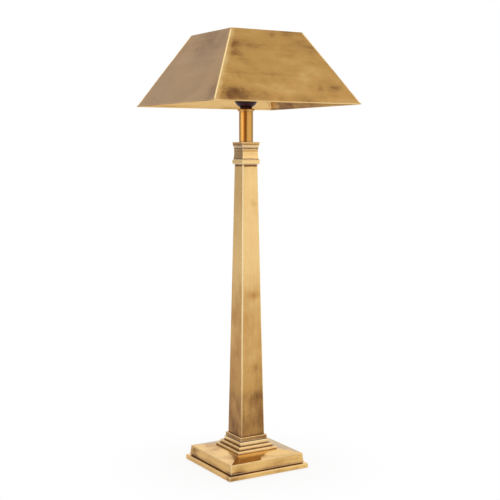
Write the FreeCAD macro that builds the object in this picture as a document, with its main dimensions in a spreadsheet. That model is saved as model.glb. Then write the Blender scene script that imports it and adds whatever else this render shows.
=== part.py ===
import FreeCAD, Part
import math
import os
import Sketcher
from FreeCAD import Placement, Rotation, Vector

# Column table lamp in antique brass: a square foot and plinth, three steps, a tapered square
# column with its capital, a round neck tube, an E27 lampholder and a four-sided pyramid shade.
# Millimetres, +Z up, the origin under the middle of the foot. The column's faces look along
# -X, +X, -Y and +Y, and the cord inlet is in the plinth's back face, +Y.

doc = FreeCAD.newDocument("ColumnLamp")
sheet = doc.addObject("Spreadsheet::Sheet", "sizes")

SIZES = {
    # felt, base plate and foot
    "felt_thickness": 2.0,
    "felt_proud": 1.0,  # how far the felt stands below the foot
    "foot_half": 79.2,  # half the width over the faces, as in every name that ends so
    "foot_height": 7.9,
    "foot_rim": 4.2,  # the rim round the plate and the felt
    "foot_ledge": 6.5,  # how far the foot reaches in under the plinth
    "foot_edge_radius": 1.5,
    "base_plate_thickness": 1.5,
    "base_plate_hole_radius": 26.0,
    "plate_clearance": 0.4,
    "plate_screw_inset": 3.3,  # from the plate's edge
    "plate_screw_radius": 1.5,
    "plate_screw_head_radius": 2.8,
    "plate_screw_length": 6.0,
    # cast weight inside the plinth
    "weight_clearance": 2.5,
    "weight_height": 18.5,
    "weight_boss_half": 36.0,
    "weight_corner_radius": 5.0,
    "weight_recess_radius": 31.0,
    "weight_recess_depth": 10.5,
    "cord_slot_width": 16.0,
    "cord_slot_start": 16.0,
    # plinth
    "plinth_set_back": 5.8,  # from the foot's face
    "plinth_draft": 1.6,  # how far each side leans in over its height
    "groove_height": 1.2,
    "groove_depth": 2.0,
    "plinth_side_height": 16.1,
    "plinth_roof_rise": 5.3,
    "plinth_edge_radius": 1.2,
    "plinth_wall": 2.0,
    "plinth_roof_thickness": 2.0,
    # steps and collar
    "lowest_step_tread": 5.9,
    "lowest_step_height": 4.5,
    "middle_step_tread": 5.2,
    "middle_step_height": 5.5,
    "upper_step_tread": 1.9,
    "upper_step_height": 6.6,
    "collar_rim": 2.65,
    "collar_height": 7.7,
    "collar_floor": 2.4,
    "undercut_height": 0.8,
    "undercut_depth": 1.0,
    "step_edge_radius": 1.2,
    # column
    "column_foot_half": 23.7,
    "column_head_half": 14.85,
    "column_length": 477.9,
    "column_wall": 1.5,
    "column_edge_radius": 2.2,
    "column_clearance": 0.15,
    "column_foot_plate_thickness": 4.0,
    # capital
    "astragal_projection": 2.45,  # from the column's head
    "astragal_height": 8.4,
    "astragal_edge_radius": 1.3,
    "astragal_groove_height": 0.8,  # the dark line under the ring
    "astragal_groove_depth": 0.5,
    "astragal_spigot_length": 6.0,
    "neck_height": 20.8,
    "neck_foot_half": 16.1,
    "neck_waist_half": 15.1,
    "neck_head_half": 15.6,
    "cap_groove_depth": 0.7,  # all of the cap's set-offs are from the neck's head
    "cap_groove_height": 0.9,
    "cap_lip_projection": 0.7,
    "cap_lip_height": 2.3,
    "cap_lip_edge_radius": 0.8,
    "cap_foot_projection": 1.0,
    "cap_head_projection": 1.7,
    "cap_edge_radius": 0.4,
    "cap_height": 9.2,
    # neck tube and the plate on it
    "tube_radius": 12.1,
    "tube_wall": 1.2,
    "tube_length": 52.6,
    "tube_spigot_length": 3.0,
    "tube_spigot_clearance": 0.1,
    "check_ring_radius": 14.6,
    "check_ring_thickness": 3.8,
    "check_ring_edge_radius": 1.0,
    # the hollow rod that draws it all together, and its fastenings
    "rod_radius": 4.95,
    "rod_bore_radius": 3.6,
    "rod_clearance": 0.25,
    "rod_tail": 2.0,  # what shows below the nut
    "rod_engagement": 11.5,  # how far the rod enters the lampholder
    "washer_radius": 14.0,
    "washer_thickness": 1.6,
    "lock_washer_radius": 8.5,
    "lock_washer_thickness": 0.8,
    "nut_width": 14.0,
    "nut_thickness": 4.0,
    "earth_screw_offset": 21.0,
    "earth_screw_radius": 2.0,
    "earth_screw_length": 7.0,
    "earth_head_radius": 3.8,
    "earth_head_height": 2.6,
    "earth_washer_radius": 4.6,
    "earth_washer_thickness": 0.8,
    "thread_clearance": 0.05,
    # cord inlet
    "inlet_height": 16.5,
    "bush_bore_radius": 3.6,
    "bush_radius": 5.5,
    "bush_flange_radius": 6.6,
    "bush_flange_thickness": 1.6,
    "bush_length": 7.8,
    "bush_clearance": 0.1,
    "spot_face_depth": 1.2,
    "spot_face_radius": 6.9,
    "bush_nut_width": 13.0,
    "bush_nut_thickness": 2.6,
    # lampholder, measured up from the check ring
    "dome_boss_radius": 10.25,
    "dome_boss_height": 3.0,
    "dome_radius": 20.0,
    "dome_shoulder_height": 18.6,
    "dome_flank_inset": 3.0,
    "dome_flank_drop": 10.2,
    "dome_height": 25.4,
    "dome_wall": 2.1,
    "dome_floor_height": 11.0,
    "insert_radius": 7.0,
    "insert_flange_radius": 8.5,
    "insert_flange_thickness": 1.5,
    "grub_screw_radius": 1.4,
    "grub_screw_height": 2.0,
    "core_seat_height": 17.5,
    "core_flange_thickness": 2.5,
    "core_height": 9.5,
    "core_radius": 15.2,
    "holder_clearance": 0.2,
    "terminal_offset": 9.0,
    "terminal_screw_radius": 1.5,
    "terminal_screw_length": 5.0,
    "terminal_head_radius": 2.6,
    "terminal_head_height": 2.0,
    "shell_bore_radius": 13.35,
    "shell_wall": 0.5,
    "shell_height": 23.0,
    "shell_floor_hole_radius": 8.0,
    "contact_thickness": 0.5,
    "contact_width": 6.0,
    "contact_rise": 1.3,
    "contact_reach": 6.5,
    "skirt_radius": 19.7,
    "skirt_bore_radius": 15.6,
    "skirt_lip_radius": 14.4,
    "skirt_lip_height": 2.0,
    "skirt_top_height": 55.0,
    # the two rings that clamp the shade
    "ring_clearance": 0.08,
    "ring_flange_radius": 28.5,
    "ring_flange_thickness": 2.2,
    "ring_hub_radius": 22.4,
    "ring_height": 6.0,
    "ring_notch_radius": 2.4,
    "ring_notch_depth": 1.0,
    # shade
    "carrier_height": 34.3,  # up from the check ring
    "carrier_gap": 0.05,
    "carrier_bore_radius": 20.4,
    "carrier_radius": 35.0,
    "carrier_thickness": 1.5,
    "arm_start": 29.6,
    "arm_width": 9.0,
    "arm_thickness": 1.5,
    "arm_tab_height": 14.0,
    "rivet_offset": 32.2,
    "rivet_radius": 1.4,
    "rivet_head_radius": 2.3,
    "rivet_head_height": 0.9,
    "shade_drop": 29.0,  # from the carrier down to the shade's lower edge
    "shade_height": 121.45,
    "shade_foot_half": 140.5,
    "shade_head_half": 68.7,
    "shade_sheet": 0.9,
    "hem_radius": 1.25,
    "hem_proud": 0.75,
    "head_hem_width": 2.4,
    "head_hem_height": 2.0,
    # candle lamp
    "lamp_gap": 0.1,
    "lamp_tip_radius": 4.6,
    "lamp_tip_height": 1.8,
    "lamp_glass_foot_height": 4.2,
    "lamp_cap_radius": 13.0,
    "lamp_cap_wall": 0.4,
    "lamp_cap_height": 20.5,
    "lamp_neck_radius": 12.4,
    "lamp_neck_height": 2.6,
    "lamp_radius": 17.5,
    "lamp_belly_height": 20.0,
    "lamp_length": 96.0,
    "lamp_wall": 0.9,
}


class Size:
    """A length with its value and the formula, on the sheet's aliases, that it comes from."""

    def __init__(self, value, text):
        self.value = value
        self.text = text

    def __add__(self, other):
        other = sized(other)
        return Size(self.value + other.value, f"({self.text} + {other.text})")

    def __radd__(self, other):
        return sized(other) + self

    def __sub__(self, other):
        other = sized(other)
        return Size(self.value - other.value, f"({self.text} - {other.text})")

    def __rsub__(self, other):
        return sized(other) - self

    def __mul__(self, other):
        other = sized(other)
        return Size(self.value * other.value, f"({self.text} * {other.text})")

    def __rmul__(self, other):
        return sized(other) * self

    def __truediv__(self, other):
        other = sized(other)
        return Size(self.value / other.value, f"({self.text} / {other.text})")

    def __neg__(self):
        return Size(-self.value, f"(0 - {self.text})")

    def root(self):
        return Size(math.sqrt(self.value), f"sqrt({self.text})")


def sized(number):
    return number if isinstance(number, Size) else Size(float(number), repr(float(number)))


class Sheet:
    """Reads like the spreadsheet: at.foot_half is the Size behind the cell foot_half."""

    def __init__(self, values):
        for row, (name, value) in enumerate(values.items(), start=1):
            sheet.set(f"A{row}", name)
            sheet.set(f"B{row}", str(value))
            sheet.setAlias(f"B{row}", name)
            setattr(self, name, Size(value, f"sizes.{name}"))


at = Sheet(SIZES)
doc.recompute()

pieces = []


def bind(thing, path, size):
    thing.setExpression(path, sized(size).text)


def new_body(label):
    body = doc.addObject("PartDesign::Body", label)
    body.Label = label
    body.Placement = Placement()
    pieces.append(body)
    return body


def new_sketch(body, plane, offset=0):
    """A sketch on one of the body's own origin planes, moved along the plane's normal."""
    sketch = body.newObject("Sketcher::SketchObject", f"{body.Label}_outline")
    support = [part for part in body.Origin.OriginFeatures if part.Role == plane][0]
    sketch.AttachmentSupport = (support, [""])
    sketch.MapMode = "FlatFace"
    bind(sketch, "AttachmentOffset.Base.z", offset)
    return sketch


def vector(x, y):
    return Vector(sized(x).value, sized(y).value, 0)


def pin_point(sketch, element, end, x, y):
    """Ties a point of the sketch to two sizes, or to an axis where the size is nought."""
    for kind, size, axis in (("DistanceX", x, -2), ("DistanceY", y, -1)):
        if not isinstance(size, Size) and size == 0:
            sketch.addConstraint(Sketcher.Constraint("PointOnObject", element, end, axis))
            continue
        rule = Sketcher.Constraint(kind, -1, 1, element, end, sized(size).value)
        number = sketch.addConstraint(rule)
        bind(sketch, f"Constraints[{number}]", size)


def outline(sketch, *corners):
    """A closed outline. A corner is (x, y), or (x, y, via_x, via_y) for an arc that ends there."""
    runs = []
    for number, corner in enumerate(corners):
        start = vector(*corners[number - 1][:2])
        end = vector(*corner[:2])
        if len(corner) == 2:
            run = sketch.addGeometry(Part.LineSegment(start, end), False)
        else:
            run = sketch.addGeometry(Part.Arc(start, vector(*corner[2:]), end), False)
        forward = (sketch.getPoint(run, 1) - start).Length < 1e-6
        runs.append((run, 1, 2) if forward else (run, 2, 1))
    for number, corner in enumerate(corners):
        run, first, last = runs[number]
        before, _, before_last = runs[number - 1]
        sketch.addConstraint(Sketcher.Constraint("Coincident", before, before_last, run, first))
        pin_point(sketch, run, last, *corner[:2])
        if len(corner) == 4:
            point = sketch.addGeometry(Part.Point(vector(*corner[2:])), True)
            pin_point(sketch, point, 1, *corner[2:])
            sketch.addConstraint(Sketcher.Constraint("PointOnObject", point, 1, run))
    return sketch


def rectangle(sketch, left, bottom, right, top):
    return outline(sketch, (left, bottom), (right, bottom), (right, top), (left, top))


def square(sketch, half):
    return rectangle(sketch, -half, -half, half, half)


def rounded_square(sketch, half, radius):
    """A square with an arc at each corner."""
    flat = half - radius
    bend = half - radius * (1 - math.sqrt(0.5))
    return outline(
        sketch,
        (half, -flat, bend, -bend),
        (half, flat),
        (flat, half, bend, bend),
        (-flat, half),
        (-half, flat, -bend, bend),
        (-half, -flat),
        (-flat, -half, -bend, -bend),
        (flat, -half),
    )


def circle(sketch, radius, x=0, y=0):
    ring = sketch.addGeometry(Part.Circle(vector(x, y), Vector(0, 0, 1), sized(radius).value), False)
    rule = sketch.addConstraint(Sketcher.Constraint("Radius", ring, sized(radius).value))
    bind(sketch, f"Constraints[{rule}]", radius)
    pin_point(sketch, ring, 3, x, y)
    return sketch


def hexagon(sketch, width):
    """A hexagon with two flats square to the sketch's Y axis, and its width over the flats."""
    side = width / math.sqrt(3)
    return outline(
        sketch,
        (side, 0),
        (side / 2, width / 2),
        (-side / 2, width / 2),
        (-side, 0),
        (-side / 2, -width / 2),
        (side / 2, -width / 2),
    )


def pad(body, sketch, length, both_ways=False):
    feature = body.newObject("PartDesign::Pad", f"{body.Label}_pad")
    feature.Profile = sketch
    bind(feature, "Length", length)
    feature.Midplane = both_ways
    sketch.Visibility = False
    return feature


def pocket(body, sketch, length, both_ways=False):
    """Cuts against the sketch's normal, and raises if nothing was cut."""
    doc.recompute()
    before = body.Shape.Volume
    feature = body.newObject("PartDesign::Pocket", f"{body.Label}_pocket")
    feature.Profile = sketch
    bind(feature, "Length", length)
    feature.Midplane = both_ways
    doc.recompute()
    if body.Shape.Volume > before - 1e-3:
        raise RuntimeError(f"{body.Label}: {sketch.Name} cuts nothing")
    return feature


def loft(body, low, high, cut=False):
    kind = "SubtractiveLoft" if cut else "AdditiveLoft"
    feature = body.newObject(f"PartDesign::{kind}", f"{body.Label}_loft")
    feature.Profile = low
    feature.Sections = [high]
    feature.Ruled = True
    return feature


def revolve(body, sketch):
    """Turns an outline drawn on the XZ plane once round the Z axis."""
    feature = body.newObject("PartDesign::Revolution", f"{body.Label}_revolution")
    feature.Profile = sketch
    feature.ReferenceAxis = (sketch, ["V_Axis"])
    feature.Angle = 360
    return feature


def round_edges(body, radius, chosen):
    """Fillets the edges of the body's last feature that the test picks."""
    doc.recompute()
    base = body.Tip
    names = [f"Edge{n}" for n, edge in enumerate(base.Shape.Edges, start=1) if chosen(edge)]
    feature = body.newObject("PartDesign::Fillet", f"{body.Label}_fillet")
    feature.Base = (base, names)
    bind(feature, "Radius", radius)
    return feature


def chamfer_edges(body, size, chosen):
    doc.recompute()
    base = body.Tip
    names = [f"Edge{n}" for n, edge in enumerate(base.Shape.Edges, start=1) if chosen(edge)]
    feature = body.newObject("PartDesign::Chamfer", f"{body.Label}_chamfer")
    feature.Base = (base, names)
    bind(feature, "Size", size)
    return feature


def level_edge(height, reach=None):
    """Picks the edges that lie at one height and, if asked, reach at least so far out."""

    def test(edge):
        box = edge.BoundBox
        flat = abs(box.ZMin - height.value) < 1e-4 and abs(box.ZMax - height.value) < 1e-4
        far = max(abs(box.XMin), abs(box.XMax), abs(box.YMin), abs(box.YMax))
        return flat and (reach is None or far > reach.value - 1e-4)

    return test


def round_and_small(edge):
    """Picks the rim of a screw hole."""
    return edge.isClosed() and edge.BoundBox.XLength < 5


def plain_hole(body, radius, top, depth, x=0, y=0):
    """A round hole from a height downwards."""
    return pocket(body, circle(new_sketch(body, "XY_Plane", top), radius, x, y), depth)


# Half widths that follow from others
recess_half = at.foot_half - at.foot_rim
plate_half = recess_half - at.plate_clearance
plate_screw_offset = plate_half - at.plate_screw_inset
foot_opening_half = recess_half - at.foot_ledge
plinth_foot_half = at.foot_half - at.plinth_set_back
plinth_head_half = plinth_foot_half - at.plinth_draft
groove_half = plinth_foot_half - at.groove_depth
spot_face_half = plinth_foot_half - at.spot_face_depth
socket_half = at.column_foot_half + at.column_clearance
collar_half = socket_half + at.collar_rim
upper_step_half = collar_half + at.upper_step_tread
middle_step_half = upper_step_half + at.middle_step_tread
lowest_step_half = middle_step_half + at.lowest_step_tread
astragal_half = at.column_head_half + at.astragal_projection
cap_groove_half = at.neck_head_half - at.cap_groove_depth
cap_lip_half = at.neck_head_half + at.cap_lip_projection
cap_foot_half = at.neck_head_half + at.cap_foot_projection
cap_head_half = at.neck_head_half + at.cap_head_projection

# Heights, from the table up. Each piece stands on the one named before it.
foot_bottom = at.felt_proud
felt_top = at.felt_thickness
plate_top = felt_top + at.base_plate_thickness
foot_top = foot_bottom + at.foot_height
plinth_side_bottom = foot_top + at.groove_height
plinth_side_top = plinth_side_bottom + at.plinth_side_height
plinth_top = plinth_side_top + at.plinth_roof_rise
plinth_ceiling = plinth_top - at.plinth_roof_thickness
middle_step_bottom = plinth_top + at.lowest_step_height
upper_step_bottom = middle_step_bottom + at.middle_step_height
collar_bottom = upper_step_bottom + at.upper_step_height
collar_top = collar_bottom + at.collar_height
column_bottom = collar_bottom + at.collar_floor
column_top = column_bottom + at.column_length
neck_bottom = column_top + at.astragal_height
cap_bottom = neck_bottom + at.neck_height
cap_top = cap_bottom + at.cap_height
tube_top = cap_top + at.tube_length
holder_bottom = tube_top + at.check_ring_thickness
recess_ceiling = plate_top + at.weight_recess_depth
inlet = at.inlet_height
rod_hole = at.rod_radius + at.rod_clearance


# ---- foot, plate, felt and weight


def make_felt_pad():
    body = new_body("felt_pad")
    felt = new_sketch(body, "XY_Plane")
    pad(body, rounded_square(felt, plate_half, at.foot_edge_radius), felt_top)


def four_corners(offset):
    return [(offset, offset), (-offset, offset), (-offset, -offset), (offset, -offset)]


def make_base_plate():
    body = new_body("base_plate")
    sketch = new_sketch(body, "XY_Plane", felt_top)
    rounded_square(sketch, plate_half, at.foot_edge_radius)
    circle(sketch, at.base_plate_hole_radius)
    pad(body, sketch, at.base_plate_thickness)
    holes = new_sketch(body, "XY_Plane", plate_top)
    for x, y in four_corners(plate_screw_offset):
        circle(holes, at.plate_screw_radius + at.thread_clearance, x, y)
    pocket(body, holes, at.base_plate_thickness)
    hole_rim = level_edge(felt_top)
    countersink = at.plate_screw_head_radius - at.plate_screw_radius
    chamfer_edges(body, countersink, lambda edge: hole_rim(edge) and round_and_small(edge))


def make_base_plate_screws():
    """Four countersunk screws, flush with the plate's underside."""
    screws = []
    for number, (x, y) in enumerate(four_corners(plate_screw_offset)):
        cone = doc.addObject("Part::Cone", f"plate_screw_head_{number}")
        bind(cone, "Radius1", at.plate_screw_head_radius - at.thread_clearance)
        bind(cone, "Radius2", at.plate_screw_radius)
        bind(cone, "Height", at.plate_screw_head_radius - at.plate_screw_radius)
        shank = doc.addObject("Part::Cylinder", f"plate_screw_shank_{number}")
        bind(shank, "Radius", at.plate_screw_radius)
        bind(shank, "Height", at.plate_screw_length)
        screw = doc.addObject("Part::Fuse", f"plate_screw_{number}")
        screw.Base = cone
        screw.Tool = shank
        bind(screw, "Placement.Base.x", x)
        bind(screw, "Placement.Base.y", y)
        bind(screw, "Placement.Base.z", felt_top)
        screws.append(screw)
    group = doc.addObject("Part::Compound", "base_plate_screws")
    group.Label = "base_plate_screws"
    group.Links = screws
    pieces.append(group)


def make_foot():
    body = new_body("foot")
    outside = rounded_square(
        new_sketch(body, "XY_Plane", foot_bottom), at.foot_half, at.foot_edge_radius
    )
    pad(body, outside, at.foot_height)
    seat = square(new_sketch(body, "XY_Plane", plate_top), recess_half)
    pocket(body, seat, plate_top - foot_bottom)
    opening = square(new_sketch(body, "XY_Plane", foot_top), foot_opening_half)
    pocket(body, opening, at.foot_height)
    screw_top = felt_top + at.plate_screw_length
    holes = new_sketch(body, "XY_Plane", screw_top)
    for x, y in four_corners(plate_screw_offset):
        circle(holes, at.plate_screw_radius + at.thread_clearance, x, y)
    pocket(body, holes, screw_top - plate_top)
    round_edges(body, at.foot_edge_radius, level_edge(foot_top, at.foot_half - at.foot_edge_radius))


def make_base_weight():
    """A keyhole-shaped iron casting: the boss carries the plinth's roof, the slot leads the cord."""
    body = new_body("base_weight")
    half = foot_opening_half - at.weight_clearance
    slab = new_sketch(body, "XY_Plane", plate_top)
    pad(body, rounded_square(slab, half, at.weight_corner_radius), at.weight_height)
    boss = new_sketch(body, "XY_Plane", plate_top)
    boss_height = plinth_ceiling - plate_top
    pad(body, rounded_square(boss, at.weight_boss_half, at.weight_corner_radius), boss_height)
    plain_hole(body, at.weight_recess_radius, recess_ceiling, at.weight_recess_depth)
    slot_top = inlet + at.bush_nut_width / 2 + at.plinth_wall
    slot = new_sketch(body, "XY_Plane", slot_top)
    side = at.cord_slot_width / 2
    rectangle(slot, -side, at.cord_slot_start, side, at.foot_half)
    pocket(body, slot, slot_top - plate_top)
    plain_hole(body, rod_hole, plinth_ceiling, plinth_ceiling - recess_ceiling)
    depth = at.earth_screw_length
    shank = at.earth_screw_radius + at.thread_clearance
    plain_hole(body, shank, recess_ceiling + depth, depth, at.earth_screw_offset, 0)


def make_plinth():
    """Drafted sides on a narrower lip, under a low hipped roof that the steps stand on."""
    body = new_body("plinth")
    lip = square(new_sketch(body, "XY_Plane", foot_top), groove_half)
    pad(body, lip, at.groove_height)
    low = square(new_sketch(body, "XY_Plane", plinth_side_bottom), plinth_foot_half)
    high = square(new_sketch(body, "XY_Plane", plinth_side_top), plinth_head_half)
    loft(body, low, high)
    eaves = square(new_sketch(body, "XY_Plane", plinth_side_top), plinth_head_half)
    flat = square(new_sketch(body, "XY_Plane", plinth_top), lowest_step_half)
    loft(body, eaves, flat)
    round_edges(body, at.plinth_edge_radius, level_edge(plinth_side_top, plinth_head_half))
    inside = groove_half - at.plinth_wall
    cavity_top = plinth_side_top - at.plinth_roof_thickness
    cavity = square(new_sketch(body, "XY_Plane", cavity_top), inside)
    pocket(body, cavity, cavity_top - foot_top)
    under_eaves = square(new_sketch(body, "XY_Plane", cavity_top), inside)
    under_flat = new_sketch(body, "XY_Plane", plinth_ceiling)
    square(under_flat, lowest_step_half - at.plinth_roof_thickness)
    loft(body, under_eaves, under_flat, cut=True)
    plain_hole(body, rod_hole, plinth_top, at.plinth_roof_thickness)
    reach = plinth_foot_half - foot_opening_half
    inlet_hole = new_sketch(body, "XZ_Plane", -foot_opening_half)
    circle(inlet_hole, at.bush_radius + at.bush_clearance, 0, inlet)
    pocket(body, inlet_hole, reach + at.plinth_wall)
    spot_face = new_sketch(body, "XZ_Plane", -spot_face_half)
    circle(spot_face, at.spot_face_radius, 0, inlet)
    pocket(body, spot_face, at.plinth_wall + at.plinth_wall)


# ---- cord inlet


def make_cord_bush():
    """Bush turned about its own Z axis, then laid along +Y with its flange on the spot face."""
    body = new_body("cord_bush")
    shank_end = at.bush_flange_thickness - at.bush_length
    outline(
        new_sketch(body, "XZ_Plane"),
        (at.bush_bore_radius, shank_end),
        (at.bush_radius, shank_end),
        (at.bush_radius, 0),
        (at.bush_flange_radius, 0),
        (at.bush_flange_radius, at.bush_flange_thickness / 2),
        (at.bush_flange_radius - at.bush_flange_thickness / 2, at.bush_flange_thickness),
        (at.bush_bore_radius, at.bush_flange_thickness),
    )
    revolve(body, body.Group[-1])
    lay_along_back(body, spot_face_half)


def lay_along_back(body, distance):
    body.Placement = Placement(Vector(), Rotation(Vector(1, 0, 0), -90))
    bind(body, "Placement.Base.y", distance)
    bind(body, "Placement.Base.z", inlet)


def make_cord_bush_nut():
    body = new_body("cord_bush_nut")
    sketch = hexagon(new_sketch(body, "XY_Plane"), at.bush_nut_width)
    circle(sketch, at.bush_radius + at.thread_clearance)
    pad(body, sketch, at.bush_nut_thickness)
    lay_along_back(body, groove_half - at.plinth_wall - at.bush_nut_thickness)


# ---- steps and collar


def make_step(label, bottom, half, height):
    """A square plate on a slightly smaller foot, which leaves a dark line under it."""
    body = new_body(label)
    foot = square(new_sketch(body, "XY_Plane", bottom), half - at.undercut_depth)
    pad(body, foot, at.undercut_height)
    plate = square(new_sketch(body, "XY_Plane", bottom + at.undercut_height), half)
    pad(body, plate, height - at.undercut_height)
    round_edges(body, at.step_edge_radius, level_edge(bottom + height, half))
    plain_hole(body, rod_hole, bottom + height, height)
    return body


def make_column_collar():
    """The last step, with a socket that the column's foot stands in."""
    body = make_step("column_collar", collar_bottom, collar_half, at.collar_height)
    socket = new_sketch(body, "XY_Plane", collar_top)
    rounded_square(socket, socket_half, at.column_edge_radius)
    pocket(body, socket, at.collar_height - at.collar_floor)


# ---- column and capital


def make_column():
    """Sheet brass folded to a tapered square tube with softened edges."""
    body = new_body("column")
    inner_radius = at.column_edge_radius - at.column_wall
    for cut, wall, radius in (
        (False, sized(0), at.column_edge_radius),
        (True, at.column_wall, inner_radius),
    ):
        low = new_sketch(body, "XY_Plane", column_bottom)
        rounded_square(low, at.column_foot_half - wall, radius)
        high = new_sketch(body, "XY_Plane", column_top)
        rounded_square(high, at.column_head_half - wall, radius)
        loft(body, low, high, cut)


def make_column_foot_plate():
    body = new_body("column_foot_plate")
    taper = (at.column_foot_half - at.column_head_half) / at.column_length
    narrowed = taper * at.column_foot_plate_thickness
    half = at.column_foot_half - at.column_wall - narrowed - at.column_clearance
    sketch = rounded_square(new_sketch(body, "XY_Plane", column_bottom), half, at.column_wall)
    circle(sketch, rod_hole)
    pad(body, sketch, at.column_foot_plate_thickness)


def make_astragal():
    """Square ring moulding over a groove, with a spigot that closes the column's head."""
    body = new_body("astragal")
    ring_bottom = column_top + at.astragal_groove_height
    foot_half = at.column_head_half - at.astragal_groove_depth
    foot = square(new_sketch(body, "XY_Plane", column_top), foot_half)
    pad(body, foot, at.astragal_groove_height)
    ring = square(new_sketch(body, "XY_Plane", ring_bottom), astragal_half)
    pad(body, ring, at.astragal_height - at.astragal_groove_height)
    for height in (ring_bottom, neck_bottom):
        round_edges(body, at.astragal_edge_radius, level_edge(height, at.neck_foot_half))
    spigot_half = at.column_head_half - at.column_wall - at.column_clearance
    spigot_bottom = column_top - at.astragal_spigot_length
    spigot = square(new_sketch(body, "XY_Plane", spigot_bottom), spigot_half)
    pad(body, spigot, at.astragal_spigot_length)
    plain_hole(body, rod_hole, neck_bottom, at.astragal_height + at.astragal_spigot_length)


def make_capital_neck():
    """Square neck whose four sides are hollowed by the same shallow arc, mitred at the edges."""
    body = new_body("capital_neck")
    block = square(new_sketch(body, "XY_Plane", neck_bottom), at.neck_foot_half)
    circle(block, rod_hole)
    pad(body, block, at.neck_height)
    middle = neck_bottom + at.neck_height / 2
    outside = cap_head_half
    for plane in ("XZ_Plane", "YZ_Plane"):
        hollow = new_sketch(body, plane)
        for side in (1, -1):
            outline(
                hollow,
                (outside * side, neck_bottom),
                (at.neck_foot_half * side, neck_bottom),
                (at.neck_head_half * side, cap_bottom, at.neck_waist_half * side, middle),
                (outside * side, cap_bottom),
            )
        pocket(body, hollow, outside * 2, both_ways=True)


def make_capital_cap():
    """Projecting cap: a groove, a soft lip, a fascia that leans outwards, and the tube's spigot."""
    body = new_body("capital_cap")
    lip_bottom = cap_bottom + at.cap_groove_height
    lip_top = lip_bottom + at.cap_lip_height
    foot = square(new_sketch(body, "XY_Plane", cap_bottom), cap_groove_half)
    pad(body, foot, at.cap_groove_height)
    lip = square(new_sketch(body, "XY_Plane", lip_bottom), cap_lip_half)
    pad(body, lip, at.cap_lip_height)
    round_edges(body, at.cap_lip_edge_radius, level_edge(lip_bottom, at.neck_head_half))
    low = square(new_sketch(body, "XY_Plane", lip_top), cap_foot_half)
    high = square(new_sketch(body, "XY_Plane", cap_top), cap_head_half)
    loft(body, low, high)
    round_edges(body, at.cap_edge_radius, level_edge(cap_top, at.neck_head_half))
    spigot_radius = at.tube_radius - at.tube_wall - at.tube_spigot_clearance
    pad(body, circle(new_sketch(body, "XY_Plane", cap_top), spigot_radius), at.tube_spigot_length)
    whole = at.cap_height + at.tube_spigot_length
    plain_hole(body, rod_hole, cap_top + at.tube_spigot_length, whole)


def make_neck_tube():
    body = new_body("neck_tube")
    sketch = circle(new_sketch(body, "XY_Plane", cap_top), at.tube_radius)
    circle(sketch, at.tube_radius - at.tube_wall)
    pad(body, sketch, at.tube_length)


def make_check_ring():
    """Round plate with a soft rim, centred in the tube by its spigot."""
    body = new_body("check_ring")
    spigot_radius = at.tube_radius - at.tube_wall - at.tube_spigot_clearance
    spigot_bottom = tube_top - at.tube_spigot_length
    rim = at.check_ring_edge_radius
    bend = rim * (1 - math.sqrt(0.5))
    radius = at.check_ring_radius
    outline(
        new_sketch(body, "XZ_Plane"),
        (rod_hole, spigot_bottom),
        (spigot_radius, spigot_bottom),
        (spigot_radius, tube_top),
        (radius - rim, tube_top),
        (radius, tube_top + rim, radius - bend, tube_top + bend),
        (radius, holder_bottom - rim),
        (radius - rim, holder_bottom, radius - bend, holder_bottom - bend),
        (rod_hole, holder_bottom),
    )
    revolve(body, body.Group[-1])


# ---- rod, nut, washers and earth


def make_ring(label, bottom, thickness, radius, hole):
    body = new_body(label)
    sketch = circle(new_sketch(body, "XY_Plane", bottom), radius)
    circle(sketch, hole)
    pad(body, sketch, thickness)


def make_rod_and_fastenings():
    washer_bottom = recess_ceiling - at.washer_thickness
    lock_bottom = washer_bottom - at.lock_washer_thickness
    nut_bottom = lock_bottom - at.nut_thickness
    rod_bottom = nut_bottom - at.rod_tail
    rod_length = holder_bottom + at.rod_engagement - rod_bottom
    make_ring("tie_rod", rod_bottom, rod_length, at.rod_radius, at.rod_bore_radius)
    make_ring("base_washer", washer_bottom, at.washer_thickness, at.washer_radius, rod_hole)
    thickness = at.lock_washer_thickness
    make_ring("base_lock_washer", lock_bottom, thickness, at.lock_washer_radius, rod_hole)
    nut = new_body("base_nut")
    sketch = hexagon(new_sketch(nut, "XY_Plane", nut_bottom), at.nut_width)
    circle(sketch, at.rod_radius + at.thread_clearance)
    pad(nut, sketch, at.nut_thickness)


def make_earth_terminal():
    washer_bottom = recess_ceiling - at.earth_washer_thickness
    place = (at.earth_screw_offset, 0)
    washer = new_body("earth_washer")
    sketch = circle(new_sketch(washer, "XY_Plane", washer_bottom), at.earth_washer_radius, *place)
    circle(sketch, at.earth_screw_radius + at.thread_clearance, *place)
    pad(washer, sketch, at.earth_washer_thickness)
    screw = new_body("earth_screw")
    head = new_sketch(screw, "XY_Plane", washer_bottom - at.earth_head_height)
    pad(screw, circle(head, at.earth_head_radius, *place), at.earth_head_height)
    shank = circle(new_sketch(screw, "XY_Plane", washer_bottom), at.earth_screw_radius, *place)
    pad(screw, shank, at.earth_screw_length)


# ---- lampholder


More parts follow.
